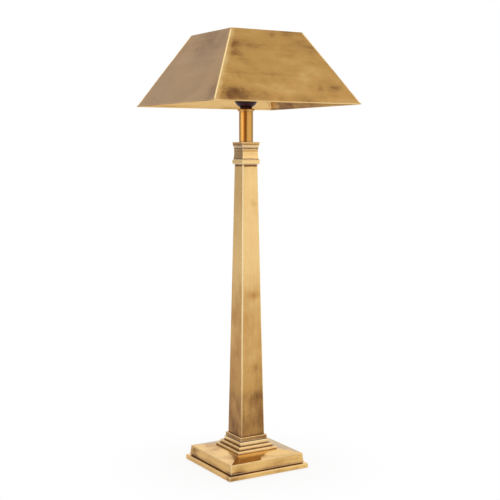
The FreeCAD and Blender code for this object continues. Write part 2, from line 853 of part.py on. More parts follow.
def make_holder_dome():
    """Moulded dome: a round boss that flares to a wide drum, hollow, with a ledge for the core."""
    body = new_body("holder_dome")
    shoulder = holder_bottom + at.dome_shoulder_height
    top = holder_bottom + at.dome_height
    floor = holder_bottom + at.dome_floor_height
    ledge = holder_bottom + at.core_seat_height
    inside = at.dome_radius - at.dome_wall
    ledge_radius = inside - at.dome_wall
    hole = at.insert_radius + at.thread_clearance
    flank = (at.dome_radius - at.dome_flank_inset, shoulder - at.dome_flank_drop)
    floor_radius = at.insert_flange_radius + at.dome_wall
    hollow = ((floor_radius + ledge_radius) / 2 + at.dome_wall / 2, (floor + ledge) / 2 - 1)
    outline(
        new_sketch(body, "XZ_Plane"),
        (hole, holder_bottom),
        (at.dome_boss_radius, holder_bottom),
        (at.dome_boss_radius, holder_bottom + at.dome_boss_height),
        (at.dome_radius, shoulder, *flank),
        (at.dome_radius, top),
        (inside, top),
        (inside, ledge),
        (ledge_radius, ledge),
        (floor_radius, floor, *hollow),
        (hole, floor),
    )
    revolve(body, body.Group[-1])
    grub_hole(body, at.dome_boss_radius + at.dome_wall)


def grub_hole(body, reach):
    """The grub screw's hole, from inside the bore out through the back of the boss."""
    start = at.rod_radius
    hole = new_sketch(body, "XZ_Plane", -start)
    radius = at.grub_screw_radius + at.thread_clearance
    circle(hole, radius, 0, holder_bottom + at.grub_screw_height)
    pocket(body, hole, reach - start)


def make_holder_insert():
    """Threaded brass bush that screws the dome to the rod."""
    body = new_body("holder_insert")
    bore = at.rod_radius + at.thread_clearance
    floor = holder_bottom + at.dome_floor_height
    top = floor + at.insert_flange_thickness
    outline(
        new_sketch(body, "XZ_Plane"),
        (bore, holder_bottom),
        (at.insert_radius, holder_bottom),
        (at.insert_radius, floor),
        (at.insert_flange_radius, floor),
        (at.insert_flange_radius, top),
        (bore, top),
    )
    revolve(body, body.Group[-1])
    grub_hole(body, at.insert_radius + at.dome_wall)


def make_holder_grub_screw():
    body = new_body("holder_grub_screw")
    length = at.dome_boss_radius - at.rod_radius - at.thread_clearance * 2
    pad(body, circle(new_sketch(body, "XY_Plane"), at.grub_screw_radius), length)
    body.Placement = Placement(Vector(), Rotation(Vector(1, 0, 0), -90))
    bind(body, "Placement.Base.y", at.rod_radius + at.thread_clearance)
    bind(body, "Placement.Base.z", holder_bottom + at.grub_screw_height)


core_bottom = holder_bottom + at.core_seat_height
core_flange_top = core_bottom + at.core_flange_thickness
core_top = core_bottom + at.core_height
skirt_top = holder_bottom + at.skirt_top_height


def make_holder_core():
    """Ceramic core: its flange sits on the dome's ledge and is held down by the skirt."""
    body = new_body("holder_core")
    flange_radius = at.dome_radius - at.dome_wall - at.holder_clearance
    outline(
        new_sketch(body, "XZ_Plane"),
        (0, core_bottom),
        (flange_radius, core_bottom),
        (flange_radius, core_flange_top),
        (at.core_radius, core_flange_top),
        (at.core_radius, core_top),
        (0, core_top),
    )
    revolve(body, body.Group[-1])
    holes = new_sketch(body, "XY_Plane", core_bottom + at.terminal_screw_length)
    for side in (1, -1):
        circle(holes, at.terminal_screw_radius + at.thread_clearance, at.terminal_offset * side, 0)
    pocket(body, holes, at.terminal_screw_length)


def make_terminal_screws():
    screws = []
    for number, side in enumerate((1, -1)):
        head = doc.addObject("Part::Cylinder", f"terminal_head_{number}")
        bind(head, "Radius", at.terminal_head_radius)
        bind(head, "Height", at.terminal_head_height)
        shank = doc.addObject("Part::Cylinder", f"terminal_shank_{number}")
        bind(shank, "Radius", at.terminal_screw_radius)
        bind(shank, "Height", at.terminal_head_height + at.terminal_screw_length)
        screw = doc.addObject("Part::Fuse", f"terminal_screw_{number}")
        screw.Base = head
        screw.Tool = shank
        bind(screw, "Placement.Base.x", at.terminal_offset * side)
        bind(screw, "Placement.Base.z", core_bottom - at.terminal_head_height)
        screws.append(screw)
    group = doc.addObject("Part::Compound", "terminal_screws")
    group.Label = "terminal_screws"
    group.Links = screws
    pieces.append(group)


def make_screw_shell():
    """Brass cup that takes the lamp's cap, with a hole in its floor for the centre contact."""
    body = new_body("screw_shell")
    outside = at.shell_bore_radius + at.shell_wall
    floor_top = core_top + at.shell_wall
    shell_top = core_top + at.shell_height
    outline(
        new_sketch(body, "XZ_Plane"),
        (at.shell_floor_hole_radius, core_top),
        (outside, core_top),
        (outside, shell_top),
        (at.shell_bore_radius, shell_top),
        (at.shell_bore_radius, floor_top),
        (at.shell_floor_hole_radius, floor_top),
    )
    revolve(body, body.Group[-1])


contact_top = core_top + at.contact_thickness + at.contact_rise


def make_centre_contact():
    """Springy tongue, bent up from its foot on the core to the flat that the lamp's tip meets."""
    body = new_body("centre_contact")
    thick = at.contact_thickness
    heel = at.contact_reach / 3
    outline(
        new_sketch(body, "XZ_Plane"),
        (-at.contact_reach, core_top),
        (-heel, core_top),
        (0, contact_top - thick),
        (heel * 2, contact_top - thick),
        (heel * 2, contact_top),
        (-thick / 2, contact_top),
        (-heel - thick / 2, core_top + thick),
        (-at.contact_reach, core_top + thick),
    )
    pad(body, body.Group[-1], at.contact_width, both_ways=True)


def make_holder_skirt():
    """Sleeve screwed into the dome; the shade's two rings run on its outside."""
    body = new_body("holder_skirt")
    plug_radius = at.dome_radius - at.dome_wall - at.holder_clearance
    shoulder = holder_bottom + at.dome_height + at.holder_clearance
    lip_bottom = skirt_top - at.skirt_lip_height
    outline(
        new_sketch(body, "XZ_Plane"),
        (at.skirt_bore_radius, core_flange_top),
        (plug_radius, core_flange_top),
        (plug_radius, shoulder),
        (at.skirt_radius, shoulder),
        (at.skirt_radius, skirt_top),
        (at.skirt_lip_radius, skirt_top),
        (at.skirt_lip_radius, lip_bottom),
        (at.skirt_bore_radius, lip_bottom),
    )
    revolve(body, body.Group[-1])


carrier_bottom = holder_bottom + at.carrier_height
carrier_top = carrier_bottom + at.carrier_thickness


def make_shade_ring(label, face, upwards):
    """Flange against the carrier, hub away from it, and notches round the rim for the fingers."""
    body = new_body(label)
    bore = at.skirt_radius + at.ring_clearance
    back = face + at.ring_flange_thickness * upwards
    end = face + at.ring_height * upwards
    outline(
        new_sketch(body, "XZ_Plane"),
        (bore, face),
        (at.ring_flange_radius, face),
        (at.ring_flange_radius, back),
        (at.ring_hub_radius, back),
        (at.ring_hub_radius, end),
        (bore, end),
    )
    revolve(body, body.Group[-1])
    top = back if upwards > 0 else face
    place = at.ring_flange_radius + at.ring_notch_radius - at.ring_notch_depth
    notch = plain_hole(body, at.ring_notch_radius, top, at.ring_flange_thickness, place, 0)
    around = body.newObject("PartDesign::PolarPattern", f"{label}_notches")
    around.Originals = [notch]
    around.Axis = (notch.Profile[0], ["N_Axis"])
    around.Angle = 360
    around.Occurrences = 12
    body.Tip = around


# ---- shade

shade_bottom = carrier_bottom - at.shade_drop
shade_top = shade_bottom + at.shade_height
shade_slope = (at.shade_foot_half - at.shade_head_half) / at.shade_height
# the sheet's thickness measured level, through a wall that leans
level_sheet = at.shade_sheet * (shade_slope * shade_slope + 1).root()
SIDES = ("front", "right", "back", "left")


def shade_outside(height):
    """Half the shade's width over its faces, at a height."""
    return at.shade_foot_half - (height - shade_bottom) * shade_slope


def shade_inside(height):
    return shade_outside(height) - level_sheet


def make_shade_panel(label, turn):
    """One side of the pyramid: sheet with a rolled lower hem and a folded upper one, mitred."""
    body = new_body(label)
    roll = at.hem_radius
    roll_top = shade_bottom + roll * 2
    roll_out = shade_outside(shade_bottom + roll) + at.hem_proud
    hem_bottom = shade_top - at.head_hem_height
    hem_inside = at.shade_head_half - at.head_hem_width
    inner_start = roll_top + roll
    profile = outline(
        new_sketch(body, "YZ_Plane"),
        (-shade_outside(roll_top), roll_top),
        (-(roll_out - roll), shade_bottom, -roll_out, shade_bottom + roll),
        (-shade_inside(inner_start), inner_start, -(roll_out - roll * 2), shade_bottom + roll),
        (-shade_inside(hem_bottom), hem_bottom),
        (-hem_inside, hem_bottom),
        (-hem_inside, shade_top),
        (-at.shade_head_half, shade_top),
    )
    beyond = at.shade_foot_half + at.hem_radius * 4
    pad(body, profile, beyond * 2, both_ways=True)
    mitre = new_sketch(body, "XY_Plane", shade_top + roll)
    outline(mitre, (0, 0), (beyond, -beyond), (beyond, roll), (-beyond, roll), (-beyond, -beyond))
    pocket(body, mitre, at.shade_height + roll * 2)
    body.Placement = Placement(Vector(), Rotation(Vector(0, 0, 1), turn))


def make_shade_arm(label, turn):
    """Flat arm from the carrier to the middle of a panel, its end turned up along the sheet."""
    body = new_body(label)
    low = carrier_top
    high = carrier_top + at.arm_thickness
    tab_top = low + at.arm_tab_height
    tab_level = at.arm_thickness / at.shade_sheet * level_sheet
    outline(
        new_sketch(body, "YZ_Plane"),
        (-at.arm_start, low),
        (-shade_inside(low), low),
        (-shade_inside(tab_top), tab_top),
        (-(shade_inside(tab_top) - tab_level), tab_top),
        (-(shade_inside(high) - tab_level), high),
        (-at.arm_start, high),
    )
    pad(body, body.Group[-1], at.arm_width, both_ways=True)
    hole_top = high
    radius = at.rivet_radius + at.thread_clearance
    plain_hole(body, radius, hole_top, at.arm_thickness, 0, -at.rivet_offset)
    body.Placement = Placement(Vector(), Rotation(Vector(0, 0, 1), turn))


def four_ways(offset):
    return [(0, -offset), (offset, 0), (0, offset), (-offset, 0)]


def make_shade_carrier():
    body = new_body("shade_carrier")
    sketch = circle(new_sketch(body, "XY_Plane", carrier_bottom), at.carrier_radius)
    circle(sketch, at.carrier_bore_radius)
    for x, y in four_ways(at.rivet_offset):
        circle(sketch, at.rivet_radius + at.thread_clearance, x, y)
    pad(body, sketch, at.carrier_thickness)


def make_carrier_rivets():
    """A rivet through each arm and the carrier, with a head on both sides."""
    rivets = []
    grip = at.carrier_thickness + at.arm_thickness
    for number, (x, y) in enumerate(four_ways(at.rivet_offset)):
        shank = doc.addObject("Part::Cylinder", f"rivet_shank_{number}")
        bind(shank, "Radius", at.rivet_radius)
        bind(shank, "Height", grip)
        heads = []
        for name, height in (("lower", -at.rivet_head_height), ("upper", grip)):
            head = doc.addObject("Part::Cylinder", f"rivet_{name}_head_{number}")
            bind(head, "Radius", at.rivet_head_radius)
            bind(head, "Height", at.rivet_head_height)
            bind(head, "Placement.Base.z", height)
            heads.append(head)
        rivet = doc.addObject("Part::MultiFuse", f"rivet_{number}")
        rivet.Shapes = [shank, *heads]
        bind(rivet, "Placement.Base.x", x)
        bind(rivet, "Placement.Base.y", y)
        bind(rivet, "Placement.Base.z", carrier_bottom)
        rivets.append(rivet)
    group = doc.addObject("Part::Compound", "carrier_rivets")
    group.Label = "carrier_rivets"
    group.Links = rivets
    pieces.append(group)


# ---- lamp

lamp_bottom = contact_top + at.lamp_gap
lamp_foot_bottom = lamp_bottom + at.lamp_tip_height
lamp_cap_bottom = lamp_foot_bottom + at.lamp_glass_foot_height
lamp_cap_top = lamp_cap_bottom + at.lamp_cap_height


def make_bulb_contact():
    body = new_body("bulb_contact")
    flat = at.lamp_tip_radius - at.lamp_tip_height
    outline(
        new_sketch(body, "XZ_Plane"),
        (0, lamp_bottom),
        (flat, lamp_bottom),
        (at.lamp_tip_radius, lamp_foot_bottom),
        (0, lamp_foot_bottom),
    )
    revolve(body, body.Group[-1])


def make_bulb_insulator():
    """Dark glass cone between the tip and the threaded cap."""
    body = new_body("bulb_insulator")
    rim = at.lamp_cap_radius - at.lamp_cap_wall * 2
    outline(
        new_sketch(body, "XZ_Plane"),
        (0, lamp_foot_bottom),
        (at.lamp_tip_radius, lamp_foot_bottom),
        (rim, lamp_cap_bottom - at.lamp_cap_wall),
        (rim, lamp_cap_bottom),
        (0, lamp_cap_bottom),
    )
    revolve(body, body.Group[-1])


def make_bulb_cap():
    body = new_body("bulb_cap")
    inside = at.lamp_cap_radius - at.lamp_cap_wall
    floor = lamp_cap_bottom + at.lamp_cap_wall
    outline(
        new_sketch(body, "XZ_Plane"),
        (0, lamp_cap_bottom),
        (inside, lamp_cap_bottom),
        (at.lamp_cap_radius, floor),
        (at.lamp_cap_radius, lamp_cap_top),
        (inside, lamp_cap_top),
        (inside, floor),
        (0, floor),
    )
    revolve(body, body.Group[-1])


def make_bulb_glass():
    """Candle envelope: a straight neck in the cap, a full belly and a drawn tip, blown hollow."""
    body = new_body("bulb_glass")
    low = lamp_cap_top - at.lamp_cap_height / 2
    neck_top = lamp_cap_top + at.lamp_neck_height
    belly = neck_top + at.lamp_belly_height
    tip = lamp_bottom + at.lamp_length
    wall = at.lamp_wall
    rise = tip - belly

    def shoulder(inset):
        """A point on the swell between the neck and the belly, so far inside the skin."""
        radius = at.lamp_neck_radius + (at.lamp_radius - at.lamp_neck_radius) * 0.72 - inset
        return radius, neck_top + at.lamp_belly_height * 0.45

    def flame(inset):
        return at.lamp_radius * 0.8 - inset, belly + rise * 0.5

    outline(
        new_sketch(body, "XZ_Plane"),
        (at.lamp_neck_radius - wall, low),
        (at.lamp_neck_radius, low),
        (at.lamp_neck_radius, neck_top),
        (at.lamp_radius, belly, *shoulder(0)),
        (wall * 3, tip - wall * 2, *flame(0)),
        (0, tip),
        (0, tip - wall * 2),
        (wall * 2, tip - wall * 4),
        (at.lamp_radius - wall, belly, *flame(wall)),
        (at.lamp_neck_radius - wall, neck_top, *shoulder(wall)),
    )
    revolve(body, body.Group[-1])


# ---- everything, from the table up

make_felt_pad()
make_base_plate()
make_base_plate_screws()
make_foot()
make_base_weight()
make_plinth()
make_cord_bush()
make_cord_bush_nut()
make_step("step_lowest", plinth_top, lowest_step_half, at.lowest_step_height)
make_step("step_middle", middle_step_bottom, middle_step_half, at.middle_step_height)
make_step("step_upper", upper_step_bottom, upper_step_half, at.upper_step_height)
make_column_collar()
make_column()
make_column_foot_plate()
make_astragal()
make_capital_neck()
make_capital_cap()
make_neck_tube()
make_check_ring()
make_rod_and_fastenings()
make_earth_terminal()
make_holder_insert()
make_holder_dome()
make_holder_grub_screw()
make_holder_core()
make_terminal_screws()
make_screw_shell()
make_centre_contact()
make_holder_skirt()
make_shade_ring("lower_shade_ring", carrier_bottom - at.carrier_gap, -1)
make_shade_ring("upper_shade_ring", carrier_top + at.carrier_gap, 1)
make_shade_carrier()
make_carrier_rivets()
for quarter, side in enumerate(SIDES):
    make_shade_panel(f"shade_panel_{side}", quarter * 90)
    make_shade_arm(f"shade_arm_{side}", quarter * 90)
make_bulb_contact()
make_bulb_insulator()
make_bulb_cap()
make_bulb_glass()

doc.recompute()

for thing in doc.Objects:
    if "Invalid" in thing.State or "Error" in thing.State:
        raise RuntimeError(f"{thing.Label} failed: {thing.State}")
for piece in pieces:
    if piece.Shape.isNull() or not piece.Shape.isValid() or not piece.Shape.Solids:
        raise RuntimeError(f"{piece.Label} has no valid solid")

os.makedirs("parts", exist_ok=True)
for piece in pieces:
    piece.Shape.exportStep(f"parts/{piece.Label}.step")
    print(f"{piece.Label:20s} {len(piece.Shape.Solids)} solid(s) {piece.Shape.Volume:12.1f} mm3")
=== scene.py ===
import math

import bmesh
import bpy
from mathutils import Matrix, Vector


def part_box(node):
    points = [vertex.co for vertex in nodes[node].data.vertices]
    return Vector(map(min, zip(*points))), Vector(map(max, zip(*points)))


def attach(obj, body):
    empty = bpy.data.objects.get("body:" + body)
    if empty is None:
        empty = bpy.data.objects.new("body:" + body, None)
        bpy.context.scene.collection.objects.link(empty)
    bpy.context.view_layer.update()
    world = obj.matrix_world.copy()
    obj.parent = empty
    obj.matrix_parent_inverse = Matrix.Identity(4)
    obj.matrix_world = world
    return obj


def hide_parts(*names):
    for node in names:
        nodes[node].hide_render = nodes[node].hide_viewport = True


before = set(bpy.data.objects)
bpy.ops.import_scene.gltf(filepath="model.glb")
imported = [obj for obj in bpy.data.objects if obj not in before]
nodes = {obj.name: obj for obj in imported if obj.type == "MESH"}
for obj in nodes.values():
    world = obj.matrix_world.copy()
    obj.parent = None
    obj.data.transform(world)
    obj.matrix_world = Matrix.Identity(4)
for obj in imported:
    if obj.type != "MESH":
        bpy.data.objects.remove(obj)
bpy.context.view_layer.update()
print("frame loaded,", len(nodes), "nodes")


# shader maths: a Wire is a node's output, and arithmetic on it adds Math nodes
class Wire:
    def __init__(self, graph, socket):
        self.graph = graph
        self.socket = socket

    def maths(self, operation, *values):
        return self.graph.node("ShaderNodeMath", {"operation": operation}, dict(enumerate(values)))

    def __add__(self, other):
        return self.maths("ADD", self, other)

    def __radd__(self, other):
        return self.maths("ADD", other, self)

    def __sub__(self, other):
        return self.maths("SUBTRACT", self, other)

    def __rsub__(self, other):
        return self.maths("SUBTRACT", other, self)

    def __mul__(self, other):
        return self.maths("MULTIPLY", self, other)

    def __rmul__(self, other):
        return self.maths("MULTIPLY", other, self)

    def __abs__(self):
        return self.maths("ABSOLUTE", self)

    def clamped(self):
        return self.graph.node("ShaderNodeClamp", None, {"Value": self})

    def ease(self, low, high):  # 0 at low, 1 at high, smooth between
        settings = {"interpolation_type": "SMOOTHSTEP"}
        sockets = {"Value": self, "From Min": low, "From Max": high}
        return self.graph.node("ShaderNodeMapRange", settings, sockets)


class Graph:
    def __init__(self, tree):
        self.tree = tree
        tree.nodes.clear()

    def node(self, kind, settings=None, sockets=None, output=0):
        made = self.tree.nodes.new(kind)
        for key, value in (settings or {}).items():
            setattr(made, key, value)
        for key, value in (sockets or {}).items():
            socket = made.inputs[key]
            if isinstance(value, Wire):
                self.tree.links.new(value.socket, socket)
            elif socket.type == "RGBA" and len(value) == 3:
                socket.default_value = (*value, 1)
            else:
                socket.default_value = value
        return Wire(self, made.outputs[output]) if made.outputs else made

    def mixed(self, factor, first, second, how="MIX"):
        settings = {"data_type": "RGBA", "blend_type": how}
        return self.node("ShaderNodeMix", settings, {0: factor, 6: first, 7: second}, 2)

    def vector(self, operation, first, second=None, output=0):
        sockets = {0: first} if second is None else {0: first, 1: second}
        return self.node("ShaderNodeVectorMath", {"operation": operation}, sockets, output)

    def scaled(self, vector, factors):
        return self.vector("MULTIPLY", vector, factors)

    def dot(self, vector, other):
        return self.vector("DOT_PRODUCT", vector, other, "Value")

    def length(self, vector):
        return self.vector("LENGTH", vector, None, "Value")

    def part(self, vector, name):  # X, Y or Z of a vector
        return self.node("ShaderNodeSeparateXYZ", None, {0: vector}, name)

    def coordinate(self, kind):
        return self.node("ShaderNodeTexCoord", None, None, kind)

    def noise(self, vector, scale, detail=3.0, roughness=0.5, distortion=0.0):
        sockets = {
            "Vector": vector,
            "Scale": scale,
            "Detail": detail,
            "Roughness": roughness,
            "Distortion": distortion,
        }
        return self.node("ShaderNodeTexNoise", None, sockets, "Fac")

    def edges(self, width, low, high):  # 1 on an edge about as wide as that, 0 on the flat
        rounded = self.node("ShaderNodeBevel", {"samples": 4}, {"Radius": width})
        plain = self.node("ShaderNodeNewGeometry", None, None, "Normal")
        return (1 - self.dot(rounded, plain)).ease(low, high)

    def openness(self, reach):  # low deep in a corner, 1 in the open
        return self.node("ShaderNodeAmbientOcclusion", {"samples": 4}, {"Distance": reach}, "AO")

    def bump(self, strength, depth, height):
        sockets = {"Strength": strength, "Distance": depth, "Height": height}
        return self.node("ShaderNodeBump", None, sockets)

    # 1 at a point, gone by about the radius, and a third lower than it is wide
    def smudge(self, place, centre, radius, ragged):
        offset = self.scaled(self.vector("SUBTRACT", place, centre), (1, 1, 1.5))
        away = self.length(offset) + ragged * radius
        return 1 - away.ease(-0.5 * radius, radius)


def newMaterial(name):
    material = bpy.data.materials.new(name)
    material.use_nodes = True
    return material, Graph(material.node_tree)


def finishMaterial(graph, sockets):
    shader = graph.node("ShaderNodeBsdfPrincipled", None, sockets)
    graph.node("ShaderNodeOutputMaterial", None, {"Surface": shader})


def dress(material, *names):
    for name in names:
        slots = nodes[name].data.materials
        slots.clear()
        slots.append(material)


# the four upright folds of a square piece, which lie where x and y are as large as each other
def foldWearAndHighlight(graph, place, fold, unevenness):
    across = abs(abs(graph.part(place, "X")) - abs(graph.part(place, "Y")))
    foldWearAndSheen = 1 - (across + unevenness * fold["wide"]).ease(fold["narrow"], fold["wide"])
    if "side" in fold:  # only by the corner that way, where the painted highlight lies
        foldWearAndSheen = foldWearAndSheen * graph.dot(place, fold["side"]).ease(*fold["sideReach"])
    return foldWearAndSheen


# how every brass piece ages, from age 0, bright, over about 0.5, dull, to 1, stained
ageing = {
    "dulls": (0.0, 0.55),
    "stains": (0.5, 1.0),
    "blotchFineness": 3.7,  # times the clouds' scale
    "hairlineFineness": 9,  # times the grain's scale
    "lineCore": 0.35,  # of a band's reach is at full strength
    "smudgeScale": 48.0,
    "smudgeRagged": 1.7,
    "smudgeEven": 0.1,  # a smudge is partly even, and mostly follows the blotches
    "smudgeBlotched": 1.2,
    "castFacing": (0.6, 0.8),  # how squarely a face has to look that way (cosines)
    "castEven": 0.85,
    "castClouded": 0.6,
    "insideFacing": (0.7, 0.9),
    "foldUneven": 0.5,
    "rounded": (0.004, 0.09),  # edges: how far the rounded normal turns from the plain one
    "open": (0.25, 0.95),  # corners: how much of the surroundings a point sees
    "wearEven": 0.6,
    "wearMottled": 0.6,
    "edgeShine": 0.08,  # taken off the roughness of worn edges
    "foldHaze": 0.12,  # put on that of handled folds
    "hairlineRelief": 0.35,
    "streakRelief": 0.3,
    "mottleRelief": 0.5,
    "bumpDepth": 0.0004,
}


# one builder for every aged brass finish, with a look of its own for each kind of piece
def agedBrass(name, look):
    material, graph = newMaterial(name)
    place = graph.coordinate("Object")
    height = graph.part(place, "Z")

    # broad clouds of tarnish with blotches in them, streaks along the polishing, and a fine mottle
    broad = graph.scaled(place, look["cloudStretch"])
    grained = graph.scaled(place, look["grain"])
    blotchScale = look["cloudScale"] * ageing["blotchFineness"]
    hairlineScale = look["grainScale"] * ageing["hairlineFineness"]
    clouds = graph.noise(broad, look["cloudScale"], detail=4, roughness=look["cloudRough"], distortion=0.6)
    blotch = graph.noise(broad, blotchScale, detail=3, roughness=0.55, distortion=0.3)
    streaks = graph.noise(grained, look["grainScale"], detail=5, roughness=0.65)
    hairlines = graph.noise(grained, hairlineScale, detail=3, roughness=0.7)
    mottle = graph.noise(place, look["mottleScale"], detail=3, roughness=0.6)
    patches = (blotch - 0.5) * look["blotchAmount"] + (clouds - 0.5) * look["cloudAmount"]
    patches = patches + (streaks - 0.5) * look["grainAmount"] + (mottle - 0.5) * look["mottleAmount"]

    side = 0.0
    if "cast" in look:  # painted shade: one side is tinted darker and cooler, and evenly
        side = graph.dot(graph.coordinate("Normal"), look["castSide"]).ease(*ageing["castFacing"])
        patches = patches * (1 - side * look["castCalm"])
    age = look["age"] + patches

    for low, high, amount in look["fades"]:  # darker or brighter up the piece
        age = age + height.ease(low, high) * amount
    for level, reach, amount in look["dirtShadeAndHighlightBands"]:  # dirt and painted shade in a groove, or below 0 a painted highlight along a lip
        away = abs(height - level + (mottle - 0.5) * reach)
        age = age + (1 - away.ease(reach * ageing["lineCore"], reach)) * amount
    if look["stainAndShadePatches"]:
        blotches = graph.noise(place, ageing["smudgeScale"], detail=4, roughness=0.6)
        ragged = (blotches - 0.5) * ageing["smudgeRagged"]
        strength = blotches * ageing["smudgeBlotched"] + ageing["smudgeEven"]
        for centre, radius, amount in look["stainAndShadePatches"]:
            age = age + graph.smudge(place, centre, radius, ragged) * strength * amount
    for direction, amount in look["inside"]:  # painted light and shade on the inner faces, by which way each faces
        innerFaceShading = graph.dot(graph.coordinate("Normal"), direction)
        age = age + innerFaceShading.ease(*ageing["insideFacing"]) * amount

    foldWearAndSheen = 0.0
    if "fold" in look:  # worn bright beside the folds, with a painted highlight along them
        fold = look["fold"]
        foldWearAndSheen = foldWearAndHighlight(graph, place, fold, (mottle + streaks - 1) * ageing["foldUneven"])
        age = age - foldWearAndSheen * (1 - side) * fold["wear"]
        foldWearAndSheen = foldWearAndSheen * fold["polish"]
        if "rise" in fold:
            foldWearAndSheen = foldWearAndSheen * height.ease(*fold["rise"])

    # wear along the edges, and dirt and painted shade in the corners
    corner = 1 - graph.openness(look["cornerReach"]).ease(*ageing["open"])
    exposed = (1 - corner * look["edgeShelter"]).clamped()
    edge = graph.edges(look["edgeWidth"], *ageing["rounded"]) * exposed
    uneven = ageing["wearEven"] + mottle * ageing["wearMottled"]
    age = (age - edge * look["edgeWear"] * uneven + corner * look["cornerDirtAndShade"]).clamped()

    colour = graph.mixed(age.ease(*ageing["dulls"]), look["bright"], look["dull"])
    colour = graph.mixed(age.ease(*ageing["stains"]), colour, look["stain"])
    # painted shade: that side takes the darker, cooler tint
    if "cast" in look:
        sideShaded = graph.mixed(1.0, colour, look["cast"], "MULTIPLY")
        share = ageing["castEven"] + (clouds - 0.5) * ageing["castClouded"]
        colour = graph.mixed((side * share - foldWearAndSheen).clamped(), colour, sideShaded)
    colour = graph.mixed(((edge + foldWearAndSheen) * uneven).clamped() * look["polish"], colour, look["worn"])
    colour = graph.mixed((hairlines - 0.5).clamped() * look["hairlineTint"], colour, look["stain"])
    rough = look["roughness"] + (streaks - 0.5) * look["roughnessSwing"] + age * look["agedRoughness"]
    rough = (rough - edge * ageing["edgeShine"] + foldWearAndSheen * ageing["foldHaze"]).clamped()
    relief = hairlines * ageing["hairlineRelief"] + streaks * ageing["streakRelief"]
    relief = relief + mottle * ageing["mottleRelief"] + clouds * look["waviness"]
    bump = graph.bump(look["bump"], ageing["bumpDepth"], relief)
    finishMaterial(graph, {"Base Color": colour, "Metallic": 1.0, "Roughness": rough, "Normal": bump})
    return material


brass = {
    "bright": (0.86, 0.585, 0.25),
    "dull": (0.6, 0.34, 0.11),
    "stain": (0.2, 0.085, 0.03),
    "worn": (0.96, 0.76, 0.44),
    "polish": 0.7,
    "age": 0.2,
    "cloudScale": 9.0,
    "cloudStretch": (1, 1, 1),
    "cloudAmount": 0.6,
    "cloudRough": 0.6,
    "blotchAmount": 0.0,
    "grain": (1, 1, 10),
    "grainScale": 14.0,
    "grainAmount": 0.4,
    "mottleScale": 260.0,
    "mottleAmount": 0.16,
    "castCalm": 0.0,
    "edgeWidth": 0.0012,
    "edgeWear": 0.35,
    "edgeShelter": 0.8,
    "cornerReach": 0.004,
    "cornerDirtAndShade": 0.5,
    "hairlineTint": 0.35,
    "roughness": 0.24,
    "roughnessSwing": 0.16,
    "agedRoughness": 0.12,
    "waviness": 1.2,
    "bump": 0.16,
    "fades": [],  # from height, to height, amount
    "dirtShadeAndHighlightBands": [],  # height, reach, amount
    "stainAndShadePatches": [],  # centre, radius, amount
    "inside": [],  # direction, amount
}
castBrass = {
    **brass,
    "age": 0.12,
    "worn": (1.0, 0.8, 0.5),
    "polish": 1.0,
    "edgeWidth": 0.0026,
    "roughness": 0.2,
    "cornerReach": 0.008,
    "cornerDirtAndShade": 1.0,
}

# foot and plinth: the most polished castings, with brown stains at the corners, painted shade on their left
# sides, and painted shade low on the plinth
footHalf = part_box("foot")[1].x
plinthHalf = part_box("plinth")[1].x
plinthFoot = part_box("foot")[1].z
baseBrass = {
    **castBrass,
    "age": 0.08,
    "bright": (0.88, 0.56, 0.205),
    "edgeWidth": 0.003,
    "edgeWear": 0.5,
    "cornerDirtAndShade": 0.8,
    # painted shade on the left side
    "cast": (0.9, 0.88, 0.88),
    "castSide": (-1, 0, 0),
    "roughness": 0.13,
    "roughnessSwing": 0.1,
    "cloudScale": 14.0,
    "cloudAmount": 1.0,
    "blotchAmount": 0.5,
    "grain": (1, 1, 14),
    "grainScale": 20.0,
    "grainAmount": 1.2,
    "waviness": 0.5,
    "bump": 0.1,
    "stainAndShadePatches": [
        ((-footHalf, -footHalf, 0.004), 0.03, 1.2),
        ((-footHalf, 0.02, 0.006), 0.02, 0.4),
        ((0.02, -footHalf, 0.005), 0.022, 0.4),
        ((0.055, -footHalf, 0.005), 0.014, 0.4),
        ((-plinthHalf, 0.78 * plinthHalf, 0.02), 0.026, 1.3),
        ((-0.8 * plinthHalf, -plinthHalf, 0.013), 0.026, 1.3),
        ((0.3 * plinthHalf, -plinthHalf, 0.018), 0.018, 0.4),
        ((-0.62 * plinthHalf, 0.25 * plinthHalf, 0.032), 0.034, 1.4),
        ((-0.45 * plinthHalf, 0.72 * plinthHalf, 0.032), 0.034, 1.2),
        ((-0.72 * plinthHalf, -0.62 * plinthHalf, 0.03), 0.034, 0.9),
        ((0.62 * plinthHalf, -0.35 * plinthHalf, 0.032), 0.03, 0.8),
        ((plinthHalf, -0.02, 0.014), 0.024, 0.7),
        ((0.03, plinthHalf, 0.018), 0.03, 0.7),
    ],
}
footBrass = {
    **baseBrass,
    "age": -0.04,
    "bright": (0.94, 0.61, 0.22),
    "cornerDirtAndShade": 0.4,
    "edgeShelter": 0.0,
}
plinthBrass = {
    **baseBrass,
    "edgeShelter": 2.0,
    # painted shade: the plinth darkens over its lowest few millimetres, above the groove
    "fades": [(plinthFoot + 0.0055, plinthFoot + 0.001, 0.55)],
}
dress(agedBrass("footBrass", footBrass), "foot")
dress(agedBrass("plinthBrass", plinthBrass), "plinth")

